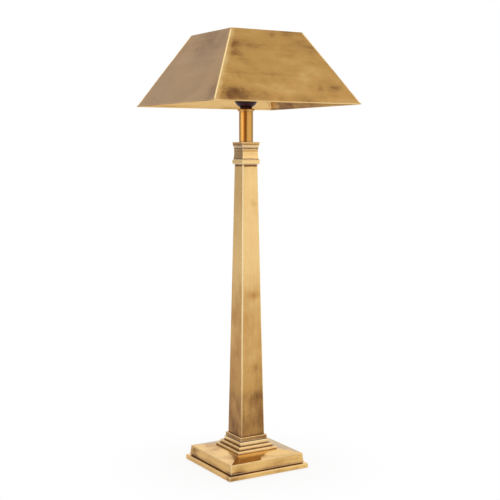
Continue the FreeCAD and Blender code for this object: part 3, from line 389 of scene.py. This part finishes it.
# steps: bright plates with a line of dirt and painted shade under each; the collar on them is browner, with
# a painted highlight along its top
stepNames = ("step_lowest", "step_middle", "step_upper")
stepBrass = {
    **castBrass,
    "age": 0.0,
    "bright": (1.0, 0.72, 0.34),
    "cloudAmount": 0.6,
    "cornerReach": 0.005,
    "edgeWear": 0.6,
    "edgeShelter": 0.0,
    # dirt and painted shade under each step
    "dirtShadeAndHighlightBands": [(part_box(name)[0].z + 0.0006, 0.0012, 0.7) for name in (*stepNames, "column_collar")],
}
collarLow, collarHigh = (corner.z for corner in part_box("column_collar"))
collarBrass = {
    **castBrass,
    "age": 0.8,
    "cloudAmount": 0.9,
    # dirt and painted shade at the collar's foot, and a painted highlight along its top
    "dirtShadeAndHighlightBands": [(collarLow + 0.0007, 0.0013, 0.6), (collarHigh, 0.0013, -0.6)],
}
dress(agedBrass("stepBrass", stepBrass), *stepNames)
dress(agedBrass("collarBrass", collarBrass), "column_collar")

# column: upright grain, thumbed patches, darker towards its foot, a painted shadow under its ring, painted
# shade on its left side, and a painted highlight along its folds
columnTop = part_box("column")[1].z
columnBrass = {
    **brass,
    "worn": (1.0, 0.82, 0.5),
    "polish": 1.0,
    "grain": (12, 12, 0.7),
    "grainScale": 16.0,
    "grainAmount": 0.3,
    "age": 0.07,
    "cloudStretch": (1.2, 1.2, 0.8),
    "cloudAmount": 1.0,
    "blotchAmount": 0.45,
    "roughness": 0.28,
    "fades": [(0.24, 0.06, 0.38), (0.42, 0.2, 0.38)],
    # painted shadow on the column's top, under the ring
    "dirtShadeAndHighlightBands": [(columnTop - 0.0004, 0.0042, 1.0)],
    # wear and a painted highlight along the column's four folds
    "fold": {"narrow": 0.0009, "wide": 0.0024, "wear": 0.5, "polish": 1.3, "rise": (-0.02, 0.34)},
    # painted shade on the left side
    "cast": (0.87, 0.83, 0.78),
    "castSide": (-1, 0, 0),
    "stainAndShadePatches": [
        ((0.004, -0.020, 0.302), 0.018, 0.75),
        ((-0.020, 0.006, 0.262), 0.028, 0.4),
        ((-0.020, -0.004, 0.2), 0.03, 0.4),
        ((0.008, -0.022, 0.176), 0.03, 0.5),
        ((0.0, -0.022, 0.12), 0.035, 0.3),
        ((0.004, -0.018, 0.462), 0.014, 0.3),
        ((0.020, 0.004, 0.34), 0.03, 0.35),
        ((-0.004, 0.020, 0.25), 0.035, 0.35),
    ],
}
dress(agedBrass("columnBrass", columnBrass), "column")

# capital: a bright ring with a painted highlight near its top, a neck painted darker on its left, and a cap
# painted darker on its left with a painted highlight along its lip; dirt and painted shade in the grooves
# between them
neckFoot, neckHead = (corner.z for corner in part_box("capital_neck"))
capFoot, capHead = (corner.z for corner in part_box("capital_cap"))
ringBrass = {
    **castBrass,
    "age": 0.0,
    "cloudAmount": 0.35,
    # dirt and painted shade at the ring's foot, and a painted highlight near its top
    "dirtShadeAndHighlightBands": [(neckFoot - 0.008, 0.0014, 1.1), (neckFoot - 0.0012, 0.0016, -0.5)],
}
neckBrass = {
    **castBrass,
    "age": 0.2,
    "cloudAmount": 0.9,
    "cornerReach": 0.012,
    # dirt and painted shade at the neck's foot and head
    "dirtShadeAndHighlightBands": [(neckFoot, 0.0028, 1.0), (neckHead, 0.0036, 1.2), (neckHead - 0.006, 0.002, 0.25)],
    # painted shade on the left side
    "cast": (0.47, 0.43, 0.5),
    "castSide": (-1, 0, 0),
}
capBrass = {
    **castBrass,
    "age": 0.46,
    # dirt and painted shade in the grooves, and a painted highlight along the lip
    "dirtShadeAndHighlightBands": [
        (capFoot + 0.0002, 0.0012, 1.0),
        (capFoot + 0.0021, 0.0016, -0.9),
        (capFoot + 0.0042, 0.0015, 0.4),
        (capHead, 0.0016, 0.6),
    ],
    # painted shade on the left side
    "cast": (0.6, 0.54, 0.56),
    "castSide": (-1, 0, 0),
}
dress(agedBrass("ringBrass", ringBrass), "astragal")
dress(agedBrass("neckBrass", neckBrass), "capital_neck")
dress(agedBrass("capBrass", capBrass), "capital_cap")

# neck tube and the thin plate on it: turned, redder and shinier than the rest
tubeBrass = {
    **brass,
    "grain": (1, 1, 0.05),
    "grainScale": 60,
    "roughness": 0.1,
    "roughnessSwing": 0.06,
    "age": 0.52,
    "bright": (0.81, 0.475, 0.15),
    "dull": (0.585, 0.305, 0.075),
}
dress(agedBrass("tubeBrass", tubeBrass), "neck_tube", "check_ring")

# shade: level grain, burnt patches by the corners, painted shade and a painted highlight on its inner
# walls, a painted mauve shade on its left face, and a painted highlight by its -x, -y corner
shadeBrass = {
    **brass,
    "bright": (0.84, 0.56, 0.23),
    "dull": (0.62, 0.35, 0.105),
    "age": 0.5,
    "cloudScale": 15.0,
    "cloudStretch": (0.8, 0.8, 1.5),
    "cloudAmount": 1.0,
    "cloudRough": 0.5,
    "blotchAmount": 0.3,
    "grain": (0.6, 0.6, 12),
    "grainScale": 9.0,
    "grainAmount": 0.42,
    # a painted highlight beside the seam at the -x, -y corner, with a little wear
    "fold": {
        "narrow": 0.0015,
        "wide": 0.012,
        "wear": 0.4,
        "polish": 0.06,
        "side": (-0.707, -0.707, 0),
        "sideReach": (0.02, 0.08),
    },
    "fades": [(0.66, 0.75, 0.08)],
    # painted light on the back wall's inside and painted shade on the right wall's inside
    "inside": [((0, -0.861, -0.509), -0.45), ((-0.861, 0, -0.509), 0.15)],
    "castCalm": 0.7,
    "roughness": 0.33,
    "stainAndShadePatches": [
        ((-0.106, -0.126, 0.646), 0.058, 0.85),
        ((-0.078, -0.109, 0.668), 0.04, 0.4),
        ((-0.078, -0.093, 0.705), 0.022, 0.4),
        ((0.028, -0.128, 0.632), 0.03, 0.25),
        ((0.006, -0.076, 0.742), 0.012, 0.4),
        ((0.05, -0.073, 0.742), 0.02, -0.4),
        ((0.094, -0.12, 0.655), 0.055, 0.62),
        ((-0.085, -0.01, 0.735), 0.08, 0.4),
        # painted shade on the insides of the back and right walls, and a painted highlight low on the back
        # wall
        ((0.137, 0.07, 0.616), 0.09, 0.5),
        ((0.035, 0.137, 0.616), 0.05, 0.8),
        ((-0.06, 0.137, 0.614), 0.04, -0.3),
        ((0.110, 0.06, 0.68), 0.045, 0.5),
        ((-0.02, 0.125, 0.655), 0.05, 0.45),
    ],
    # painted shade: a cooler, darker mauve tint on the left panel
    "cast": (0.72, 0.81, 1.4),
    "castSide": (-0.861, 0, 0.509),  # square to the left panel
}
shadeFinish = agedBrass("shadeBrass", shadeBrass)
dress(shadeFinish, *[name for name in nodes if name.startswith("shade_panel")])

# arms and carrier: dull
armBrass = {**brass, "age": 0.5, "roughness": 0.36, "grain": (1, 1, 1), "grainScale": 40}
armFinish = agedBrass("armBrass", armBrass)
dress(armFinish, "shade_carrier", *[name for name in nodes if name.startswith("shade_arm")])

# rod and the small turned pieces: bright and plain
rodBrass = {
    **brass,
    "age": 0.1,
    "bright": (0.85, 0.64, 0.3),
    "grain": (1, 1, 30),
    "grainScale": 40,
    "roughness": 0.22,
}
rodFinish = agedBrass("rodBrass", rodBrass)
dress(rodFinish, "tie_rod", "earth_screw", "earth_washer", "holder_insert", "holder_grub_screw")
dress(rodFinish, "screw_shell", "centre_contact", "terminal_screws")
print("brass done")


# moulded lampholder: nearly black, with a red-brown swirl
bakelite = {
    "dark": (0.026, 0.007, 0.008),
    "swirl": (0.055, 0.016, 0.018),
    "swirlScale": 60.0,
    "swirlRange": (0.35, 0.75),
    "gritScale": 900,
    "handlingScale": 140,
    "handlingSwing": 0.2,
    "edgeWidth": 0.0006,
    "rounded": (0.01, 0.12),
    "bump": 0.12,
    "bumpDepth": 0.0003,
    "roughness": 0.34,
    "specular": 0.14,
    "coat": 0.04,
    "coatRoughness": 0.1,
}


def makeBakelite(name, look):
    material, graph = newMaterial(name)
    place = graph.coordinate("Object")
    swirl = graph.noise(place, look["swirlScale"], detail=4, roughness=0.55, distortion=1.5)
    grit = graph.noise(place, look["gritScale"], detail=2, roughness=0.5)
    handling = graph.noise(place, look["handlingScale"], detail=3, roughness=0.6)
    edge = graph.edges(look["edgeWidth"], *look["rounded"])
    reddened = swirl.ease(*look["swirlRange"]) * 0.7 + edge * 0.3
    shaderSockets = {
        "Base Color": graph.mixed(reddened, look["dark"], look["swirl"]),
        "Roughness": look["roughness"] + (handling - 0.5) * look["handlingSwing"] - edge * 0.06,
        "Normal": graph.bump(look["bump"], look["bumpDepth"], grit + swirl * 2),
        "Coat Weight": look["coat"],
        "Coat Roughness": look["coatRoughness"],
        "Specular IOR Level": look["specular"],
    }
    finishMaterial(graph, shaderSockets)
    return material


bakeliteFinish = makeBakelite("bakelite", bakelite)
dress(bakeliteFinish, "holder_dome", "lower_shade_ring", "upper_shade_ring")


# plain finishes, flecked between two colours
fleck = {
    "metallic": 0.0,
    "bump": 0.3,
    "bumpDepth": 0.0003,
    "stretch": (1, 1, 1),
    "fineness": 6,  # of the small flecks, times the large ones' scale
    "range": (0.35, 0.85),
    "cornerReach": 0.003,
    "open": (0.2, 0.95),
    "cornerDirtAndShade": 0.6,
    "cornerShade": 0.4,  # times the dark colour
}


def makeFleck(name, look):
    material, graph = newMaterial(name)
    place = graph.scaled(graph.coordinate("Object"), look["stretch"])
    coarse = graph.noise(place, look["scale"], detail=4, roughness=0.6, distortion=0.4)
    fine = graph.noise(place, look["scale"] * look["fineness"], detail=3, roughness=0.6)
    # dirt and painted shade in the corners
    corner = 1 - graph.openness(look["cornerReach"]).ease(*look["open"])
    darkest = tuple(look["cornerShade"] * part for part in look["dark"])
    colour = graph.mixed((coarse * 0.7 + fine * 0.5).ease(*look["range"]), look["dark"], look["light"])
    colour = graph.mixed(corner * look["cornerDirtAndShade"], colour, darkest)
    shaderSockets = {
        "Base Color": colour,
        "Roughness": (look["roughness"] + (coarse - 0.5) * 0.25 + (fine - 0.5) * 0.15).clamped(),
        "Metallic": look["metallic"],
        "Normal": graph.bump(look["bump"], look["bumpDepth"], coarse + fine * 0.7),
    }
    finishMaterial(graph, shaderSockets)
    return material


felt = {
    **fleck,
    "dark": (0.045, 0.035, 0.028),
    "light": (0.09, 0.072, 0.058),
    "scale": 700,
    "roughness": 0.95,
    "bump": 1.0,
    "bumpDepth": 0.0008,
}
dress(makeFleck("felt", felt), "felt_pad")

zincSteel = {
    **fleck,
    "dark": (0.5, 0.5, 0.49),
    "light": (0.66, 0.66, 0.64),
    "scale": 120,
    "roughness": 0.36,
    "metallic": 1.0,
    "bump": 0.15,
}
zincFinish = makeFleck("zincSteel", zincSteel)
dress(zincFinish, "base_plate", "base_plate_screws", "column_foot_plate")
dress(zincFinish, "base_nut", "base_lock_washer", "base_washer")

castIron = {
    **fleck,
    "dark": (0.05, 0.048, 0.046),
    "light": (0.12, 0.11, 0.1),
    "scale": 160,
    "roughness": 0.7,
    "metallic": 0.6,
    "bump": 1.0,
    "bumpDepth": 0.001,
}
dress(makeFleck("castIron", castIron), "base_weight")

blackNylon = {
    **fleck,
    "dark": (0.012, 0.012, 0.012),
    "light": (0.03, 0.03, 0.03),
    "scale": 300,
    "roughness": 0.5,
}
dress(makeFleck("blackNylon", blackNylon), "cord_bush", "cord_bush_nut")

porcelain = {
    **fleck,
    "dark": (0.8, 0.78, 0.72),
    "light": (0.88, 0.86, 0.82),
    "scale": 90,
    "roughness": 0.18,
    "bump": 0.1,
}
dress(makeFleck("porcelain", porcelain), "holder_core")

solder = {
    **fleck,
    "dark": (0.5, 0.5, 0.49),
    "light": (0.7, 0.7, 0.68),
    "scale": 400,
    "roughness": 0.4,
    "metallic": 1.0,
    "bump": 0.5,
}
dress(makeFleck("solder", solder), "bulb_contact")

blackGlass = {
    **fleck,
    "dark": (0.01, 0.01, 0.012),
    "light": (0.03, 0.03, 0.035),
    "scale": 200,
    "roughness": 0.1,
    "bump": 0.05,
}
dress(makeFleck("blackGlass", blackGlass), "bulb_insulator")

lampCapMetal = {
    **fleck,
    "dark": (0.62, 0.6, 0.56),
    "light": (0.8, 0.78, 0.74),
    "scale": 200,
    "roughness": 0.22,
    "metallic": 1.0,
    "bump": 0.2,
    "bumpDepth": 0.0002,
    "stretch": (1, 1, 6),
}
capFinish = makeFleck("lampCapMetal", lampCapMetal)


# bulb: opal glass, a little greyer towards its neck
opal = {
    "clear": (0.92, 0.91, 0.88),
    "grey": (0.82, 0.8, 0.76),
    "neck": (0.69, 0.675),  # heights where the grey starts and is full
    "hazeScale": 70,
    "dustScale": 900,
    "bump": 0.04,
    "bumpDepth": 0.0003,
    "roughness": 0.22,
    "coat": 0.5,
    "coatRoughness": 0.05,
    "subsurface": 0.3,
    "subsurfaceRadius": (0.004, 0.004, 0.004),
}


def makeOpal(name, look):
    material, graph = newMaterial(name)
    place = graph.coordinate("Object")
    haze = graph.noise(place, look["hazeScale"], detail=3, roughness=0.5)
    dust = graph.noise(place, look["dustScale"], detail=3, roughness=0.6)
    neck = graph.part(place, "Z").ease(*look["neck"])
    shaderSockets = {
        "Base Color": graph.mixed(haze * 0.5 + neck * 0.5, look["clear"], look["grey"]),
        "Roughness": look["roughness"] + dust * 0.1,
        "Normal": graph.bump(look["bump"], look["bumpDepth"], haze + dust * 0.2),
        "Coat Weight": look["coat"],
        "Coat Roughness": look["coatRoughness"],
        "Subsurface Weight": look["subsurface"],
        "Subsurface Radius": look["subsurfaceRadius"],
        "Subsurface Scale": 1.0,
    }
    finishMaterial(graph, shaderSockets)
    return material


dress(makeOpal("opalGlass", opal), "bulb_glass")
print("other finishes done")


def joinRings(shape, first, second):
    for step, vertex in enumerate(first):
        beside = (step + 1) % len(first)
        shape.faces.new((vertex, first[beside], second[beside], second[step]))


def makePiece(name, shape, finish, sharpAngle=None):
    bmesh.ops.recalc_face_normals(shape, faces=shape.faces)
    mesh = bpy.data.meshes.new(name)
    shape.to_mesh(mesh)
    shape.free()
    mesh.shade_smooth()
    if sharpAngle is not None:
        mesh.set_sharp_from_angle(angle=math.radians(sharpAngle))
    mesh.materials.append(finish)
    piece = bpy.data.objects.new(name, mesh)
    bpy.context.scene.collection.objects.link(piece)
    return piece


def boxInMillimetres(node):
    low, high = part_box(node)
    return low * 1000, high * 1000


turning = {
    "sides": 96,
    "ringsPerPitch": 10,
    "grooveShape": 0.8,  # below 1, a thread's groove is wider than its crest
    "sharpAngle": 40,
}


# a thread's groove: 0 on its crest, and fading out over the first and last turn
def threadInset(thread, height, share):
    turns = (height - thread["low"]) / thread["pitch"]
    turnsLeft = (thread["high"] - height) / thread["pitch"]
    fade = min(1, max(0, turns), max(0, turnsLeft))
    wave = 0.5 - 0.5 * math.cos(2 * math.pi * (turns - share))
    return thread["depth"] * wave ** turning["grooveShape"] * fade


# a turned piece, drawn as a closed profile of (radius, height) in millimetres,
# with a thread cut into its outermost wall
def makeTurned(name, profile, thread, finish):
    points = []
    widest = max(radius for radius, height in profile)
    for number, (radius, height) in enumerate(profile):
        points.append((radius, height, False))
        afterRadius, afterHeight = profile[(number + 1) % len(profile)]
        if radius == afterRadius == widest and afterHeight > height:
            run = afterHeight - height
            steps = int(run / thread["pitch"] * turning["ringsPerPitch"])
            points += [(radius, height + run * step / steps, True) for step in range(1, steps)]
    shape = bmesh.new()
    rings = []
    for radius, height, cut in points:
        ring = []
        for side in range(turning["sides"]):
            angle = 2 * math.pi * side / turning["sides"]
            inset = threadInset(thread, height, side / turning["sides"]) if cut else 0
            reach = (radius - inset) / 1000
            ring.append(shape.verts.new((reach * math.cos(angle), reach * math.sin(angle), height / 1000)))
        rings.append(ring)
    for number, ring in enumerate(rings):
        joinRings(shape, ring, rings[(number + 1) % len(rings)])
    return makePiece(name, shape, finish, turning["sharpAngle"])


# the lampholder's skirt: a plug in the dome, a shoulder, and a threaded outside for the shade rings
skirtLow, skirtHigh = boxInMillimetres("holder_skirt")
domeTop = boxInMillimetres("holder_dome")[1].z
skirt = {
    "plug": 17.7,
    "outside": 19.7,
    "bore": 15.6,
    "lip": 14.4,
    "lipHeight": 2.0,
    "shoulder": domeTop + 0.2,  # just clear of the dome
    "softening": 0.4,
    "topSoftening": 0.6,
    "threadMargin": 1.0,
    "pitch": 2.3,
    "depth": 0.75,
}
skirtThread = {
    "low": skirt["shoulder"] + skirt["threadMargin"],
    "high": skirtHigh.z - skirt["threadMargin"],
    "pitch": skirt["pitch"],
    "depth": skirt["depth"],
}
skirtProfile = [
    (skirt["bore"], skirtLow.z),
    (skirt["plug"], skirtLow.z),
    (skirt["plug"], skirt["shoulder"]),
    (skirt["outside"] - skirt["softening"], skirt["shoulder"]),
    (skirt["outside"], skirt["shoulder"] + skirt["softening"]),
    (skirt["outside"], skirtHigh.z - skirt["topSoftening"]),
    (skirt["outside"] - skirt["topSoftening"], skirtHigh.z),
    (skirt["lip"] + skirt["softening"], skirtHigh.z),
    (skirt["lip"], skirtHigh.z - skirt["softening"]),
    (skirt["lip"], skirtHigh.z - skirt["lipHeight"]),
    (skirt["bore"], skirtHigh.z - skirt["lipHeight"]),
]
skirtPiece = makeTurned("holderSleeve", skirtProfile, skirtThread, bakeliteFinish)
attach(skirtPiece, "stand")
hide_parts("holder_skirt")

# the bulb's screw cap: a rolled thread in thin metal
capLow, capHigh = boxInMillimetres("bulb_cap")
cap = {
    "outside": 13.0,
    "wall": 0.4,
    "rolledWall": 1.0,
    "floor": 1.6,
    "floorHole": 0.5,
    "softening": 1.2,
    "mouthSoftening": 0.8,
    "plainMouth": 2.5,
    "pitch": 3.6,
    "depth": 0.75,
}
capThread = {
    "low": capLow.z + cap["floor"],
    "high": capHigh.z - cap["plainMouth"],
    "pitch": cap["pitch"],
    "depth": cap["depth"],
}
capProfile = [
    (cap["floorHole"], capLow.z),
    (cap["outside"] - cap["softening"], capLow.z),
    (cap["outside"], capLow.z + cap["softening"]),
    (cap["outside"], capHigh.z),
    (cap["outside"] - cap["wall"], capHigh.z),
    (cap["outside"] - cap["rolledWall"], capHigh.z - cap["mouthSoftening"]),
    (cap["outside"] - cap["rolledWall"], capLow.z + cap["floor"]),
    (cap["floorHole"], capLow.z + cap["floor"]),
]
capPiece = makeTurned("bulbScrewCap", capProfile, capThread, capFinish)
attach(capPiece, "bulb")
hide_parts("bulb_cap")
print("threads done")


# soldered seams up the shade's four corners, sunk a little between the panels
seam = {
    "radius": 0.0015,
    "flatness": 0.9,
    "sink": 0.001,
    "bottomLift": 0.0024,  # of the seam's ends, from the panels' ends
    "topDrop": 0.0004,
    "hemReach": 0.0016,  # how far the lower hem stands out past the seam's foot
    "headHalf": 0.0687,  # half the shade's width at its top
    "leanIn": 0.591,  # how far a panel leans in for each unit of height
    "waves": [(0.05, 2.1), (0.03, 5.3)],  # soldered by hand: how much, and how fast along the seam
    "sides": 14,
    "steps": 40,
}
seamBrass = {
    **brass,
    "age": 0.0,
    "bright": (1.0, 0.74, 0.36),
    "worn": (1.0, 0.76, 0.4),
    "roughness": 0.42,
    "cornerDirtAndShade": 0.1,
    "cloudAmount": 0.2,
    # painted shade on the three seams away from the -x, -y corner, which stays bright as a painted
    # highlight
    "stainAndShadePatches": [
        ((0.105, -0.105, 0.68), 0.14, 0.9),
        ((-0.105, 0.105, 0.68), 0.14, 0.9),
        ((0.105, 0.105, 0.68), 0.14, 0.6),
    ],
}
seamFinish = agedBrass("seamBrass", seamBrass)


def makeSeam(name, low, high):
    shape = bmesh.new()
    along = (high - low).normalized()
    across = along.cross(Vector((0, 0, 1))).normalized()
    outward = across.cross(along).normalized() * seam["flatness"]
    rings = []
    for step in range(seam["steps"] + 1):
        centre = low.lerp(high, step / seam["steps"])
        swell = sum((amount * math.sin(step * pace) for amount, pace in seam["waves"]), 1)
        ring = []
        for side in range(seam["sides"]):
            angle = 2 * math.pi * side / seam["sides"]
            reach = seam["radius"] * swell * (across * math.cos(angle) + outward * math.sin(angle))
            ring.append(shape.verts.new(centre + reach))
        rings.append(ring)
    for first, second in zip(rings, rings[1:]):
        joinRings(shape, first, second)
    shape.faces.new(rings[0])
    shape.faces.new(rings[-1])
    return makePiece(name, shape, seamFinish)


panelLow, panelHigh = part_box("shade_panel_front")
seamLow = panelLow.z + seam["bottomLift"]
seamHigh = panelHigh.z - seam["topDrop"] - seam["radius"]
footReach = -panelLow.y - seam["hemReach"] - seam["sink"]
headReach = seam["headHalf"] + (panelHigh.z - seamHigh) * seam["leanIn"] - seam["sink"]
for quarter in range(4):
    turn = math.radians(45 + 90 * quarter)
    corner = Vector((math.cos(turn), math.sin(turn), 0)) * math.sqrt(2)
    low = corner * footReach + Vector((0, 0, seamLow))
    high = corner * headReach + Vector((0, 0, seamHigh))
    seamPiece = makeSeam(f"cornerSeam_{quarter}", low, high)
    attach(seamPiece, "shade")
print("seams done")


# domed rivets through the arms and the carrier
rivet = {
    "offset": 0.0322,
    "shank": 0.0014,
    "radius": 0.0023,
    "height": 0.0009,
    "rings": 6,
    "sides": 24,
    "sharpAngle": 50,
}


# one head's outline, from the shank out and over the dome; up is 1 or -1
def rivetHead(seat, up):
    head = [(rivet["shank"], seat), (rivet["radius"], seat)]
    for ring in range(1, rivet["rings"]):
        lean = math.pi / 2 * ring / rivet["rings"]
        rise = rivet["height"] * math.sin(lean)
        head.append((rivet["radius"] * math.cos(lean), seat + up * rise))
    return head


def makeRivets(name, lowerSeat, upperSeat):
    shape = bmesh.new()
    outline = list(reversed(rivetHead(lowerSeat, -1))) + rivetHead(upperSeat, 1)
    angles = [2 * math.pi * side / rivet["sides"] for side in range(rivet["sides"])]
    for quarter in range(4):
        turn = math.radians(90 * quarter)
        centre = Vector((math.cos(turn), math.sin(turn), 0)) * rivet["offset"]
        rings = []
        for radius, height in outline:
            around = [Vector((radius * math.cos(a), radius * math.sin(a), height)) for a in angles]
            rings.append([shape.verts.new(centre + point) for point in around])
        for first, second in zip(rings, rings[1:]):
            joinRings(shape, first, second)
        shape.faces.new(rings[0])
        shape.faces.new(rings[-1])
    return makePiece(name, shape, rodFinish, rivet["sharpAngle"])


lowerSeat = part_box("shade_carrier")[0].z
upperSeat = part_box("carrier_rivets")[1].z - rivet["height"]
rivetPiece = makeRivets("armRivets", lowerSeat, upperSeat)
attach(rivetPiece, "shade")
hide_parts("carrier_rivets")
print("rivets done")


# studio: white paper all round, soft boxes beside the camera and behind, and dark gaps between;
# each box: towards, falls off from and to (cosines), how much
studio = {
    "level": 0.6,  # of the room, as polished metal sees it
    "boxes": {
        "right": ((0.44, -0.89, 0.1), 0.6, 0.93, 0.56),
        "left": ((-0.98, 0.06, 0.1), 0.75, 0.96, 1.1),
        "back": ((0.45, 0.79, 0.9), 0.78, 0.96, 0.4),
        "top": ((-0.25, -0.05, 0.965), 0.85, 0.97, 0.55),
        "topGap": ((0.355, -0.488, 0.798), 0.95, 0.995, -0.34),
    },
    "frontGap": ((-0.75, -0.66, 0.02), 0.8, 0.95, -0.31),
    "gapWarmth": (1.0, 0.5, 0.1),  # the colour seen in the front gap
    "flatten": 2.2,  # keeps the boxes low and the gaps between them short
    "diffuse": 0.9,  # of the room, as matt surfaces see it
}


def makeWorld():
    world = bpy.data.worlds.new("studio")
    world.use_nodes = True
    graph = Graph(world.node_tree)
    flat = graph.vector("NORMALIZE", graph.scaled(graph.coordinate("Generated"), (1, 1, studio["flatten"])))

    def seen(direction, wide, tight):
        return graph.dot(flat, tuple(Vector(direction).normalized())).ease(wide, tight)

    level = studio["level"]
    for direction, wide, tight, amount in studio["boxes"].values():
        level = seen(direction, wide, tight) * amount + level
    direction, wide, tight, amount = studio["frontGap"]
    gap = seen(direction, wide, tight)
    level = gap * amount + level

    ray = {}
    for name in ("Camera", "Glossy", "Transmission"):
        ray[name] = graph.node("ShaderNodeLightPath", None, None, f"Is {name} Ray")
    white = (ray["Camera"] + ray["Transmission"]).clamped()
    strength = ray["Glossy"] * (level - studio["diffuse"]) + studio["diffuse"]
    strength = white * (1 - strength) + strength
    tint = graph.mixed(gap * ray["Glossy"], (1, 1, 1), studio["gapWarmth"])
    background = graph.node("ShaderNodeBackground", None, {"Color": tint, "Strength": strength})
    graph.node("ShaderNodeOutputWorld", None, {"Surface": background})
    bpy.context.scene.world = world


# floor: matt white paper that runs out to pure white away from the lamp, and keeps its shadow
paper = {
    "half": 12,
    "drop": 0.0002,
    "lit": (0.95, 0.95, 0.95),  # as it lights the lamp
    "seen": (0.97, 0.97, 0.97),  # as the camera sees it
    "fibre": (0.9, 0.9, 0.9),
    "fibreScale": 300,
    "fibreAmount": 0.03,
    "whiteNear": 0.84,  # share of pure white by the lamp
    "whiteFrom": 0.1,  # distances where it starts to grow and is full
    "whiteBy": 0.3,
}


def makeFloor():
    mesh = bpy.data.meshes.new("studioFloor")
    shape = bmesh.new()
    bmesh.ops.create_grid(shape, x_segments=8, y_segments=8, size=paper["half"])
    shape.to_mesh(mesh)
    shape.free()
    floor = bpy.data.objects.new("studioFloor", mesh)
    floor.location.z = -paper["drop"]
    bpy.context.scene.collection.objects.link(floor)
    material, graph = newMaterial("paleFloor")
    place = graph.coordinate("Object")
    camera = graph.node("ShaderNodeLightPath", None, None, "Is Camera Ray")
    fibres = graph.noise(place, paper["fibreScale"], detail=2, roughness=0.5)
    colour = graph.mixed(camera, paper["lit"], paper["seen"])
    colour = graph.mixed(fibres * paper["fibreAmount"], colour, paper["fibre"])
    matt = graph.node("ShaderNodeBsdfDiffuse", None, {"Color": colour})
    glow = graph.node("ShaderNodeEmission", None, {"Color": (1, 1, 1), "Strength": 1.0})
    away = graph.length(place).ease(paper["whiteFrom"], paper["whiteBy"])
    white = camera * (paper["whiteNear"] + away * (1 - paper["whiteNear"]))
    surface = graph.node("ShaderNodeMixShader", None, {0: white, 1: matt, 2: glow})
    graph.node("ShaderNodeOutputMaterial", None, {"Surface": surface})
    mesh.materials.append(material)


keyPanel = {"size": (2.4, 2.0), "position": (1.6, -2.0, 2.2), "target": (0, 0, 0.4), "power": 8}


def makeLamp(name, panel):
    lamp = bpy.data.lights.new(name, "AREA")
    lamp.shape = "RECTANGLE"
    lamp.size, lamp.size_y = panel["size"]
    lamp.energy = panel["power"]
    holder = bpy.data.objects.new(name, lamp)
    position = Vector(panel["position"])
    holder.location = position
    holder.rotation_euler = (Vector(panel["target"]) - position).to_track_quat("-Z", "Y").to_euler()
    bpy.context.scene.collection.objects.link(holder)


# the photograph's view: a long lens a little above the middle of the lamp; angles in degrees
view = {
    "heading": 30.82,
    "distance": 1.77175,
    "height": 0.54944,
    "pitch": 5.46,
    "pan": 0.22,
    "lens": 73.695,
    "sensor": 36,
}


def makeCamera():
    data = bpy.data.cameras.new("camera")
    data.lens = view["lens"]
    data.sensor_width = view["sensor"]
    data.sensor_fit = "HORIZONTAL"
    camera = bpy.data.objects.new("camera", data)
    heading = math.radians(view["heading"])
    camera.location = (
        -view["distance"] * math.sin(heading),
        -view["distance"] * math.cos(heading),
        view["height"],
    )
    camera.rotation_euler = (
        math.radians(90 - view["pitch"]),
        0,
        -math.radians(view["heading"] + view["pan"]),
    )
    bpy.context.scene.collection.objects.link(camera)
    bpy.context.scene.camera = camera


makeWorld()
makeFloor()
makeLamp("keyPanel", keyPanel)
makeCamera()
bpy.context.scene.view_settings.view_transform = "Standard"
print("studio done")
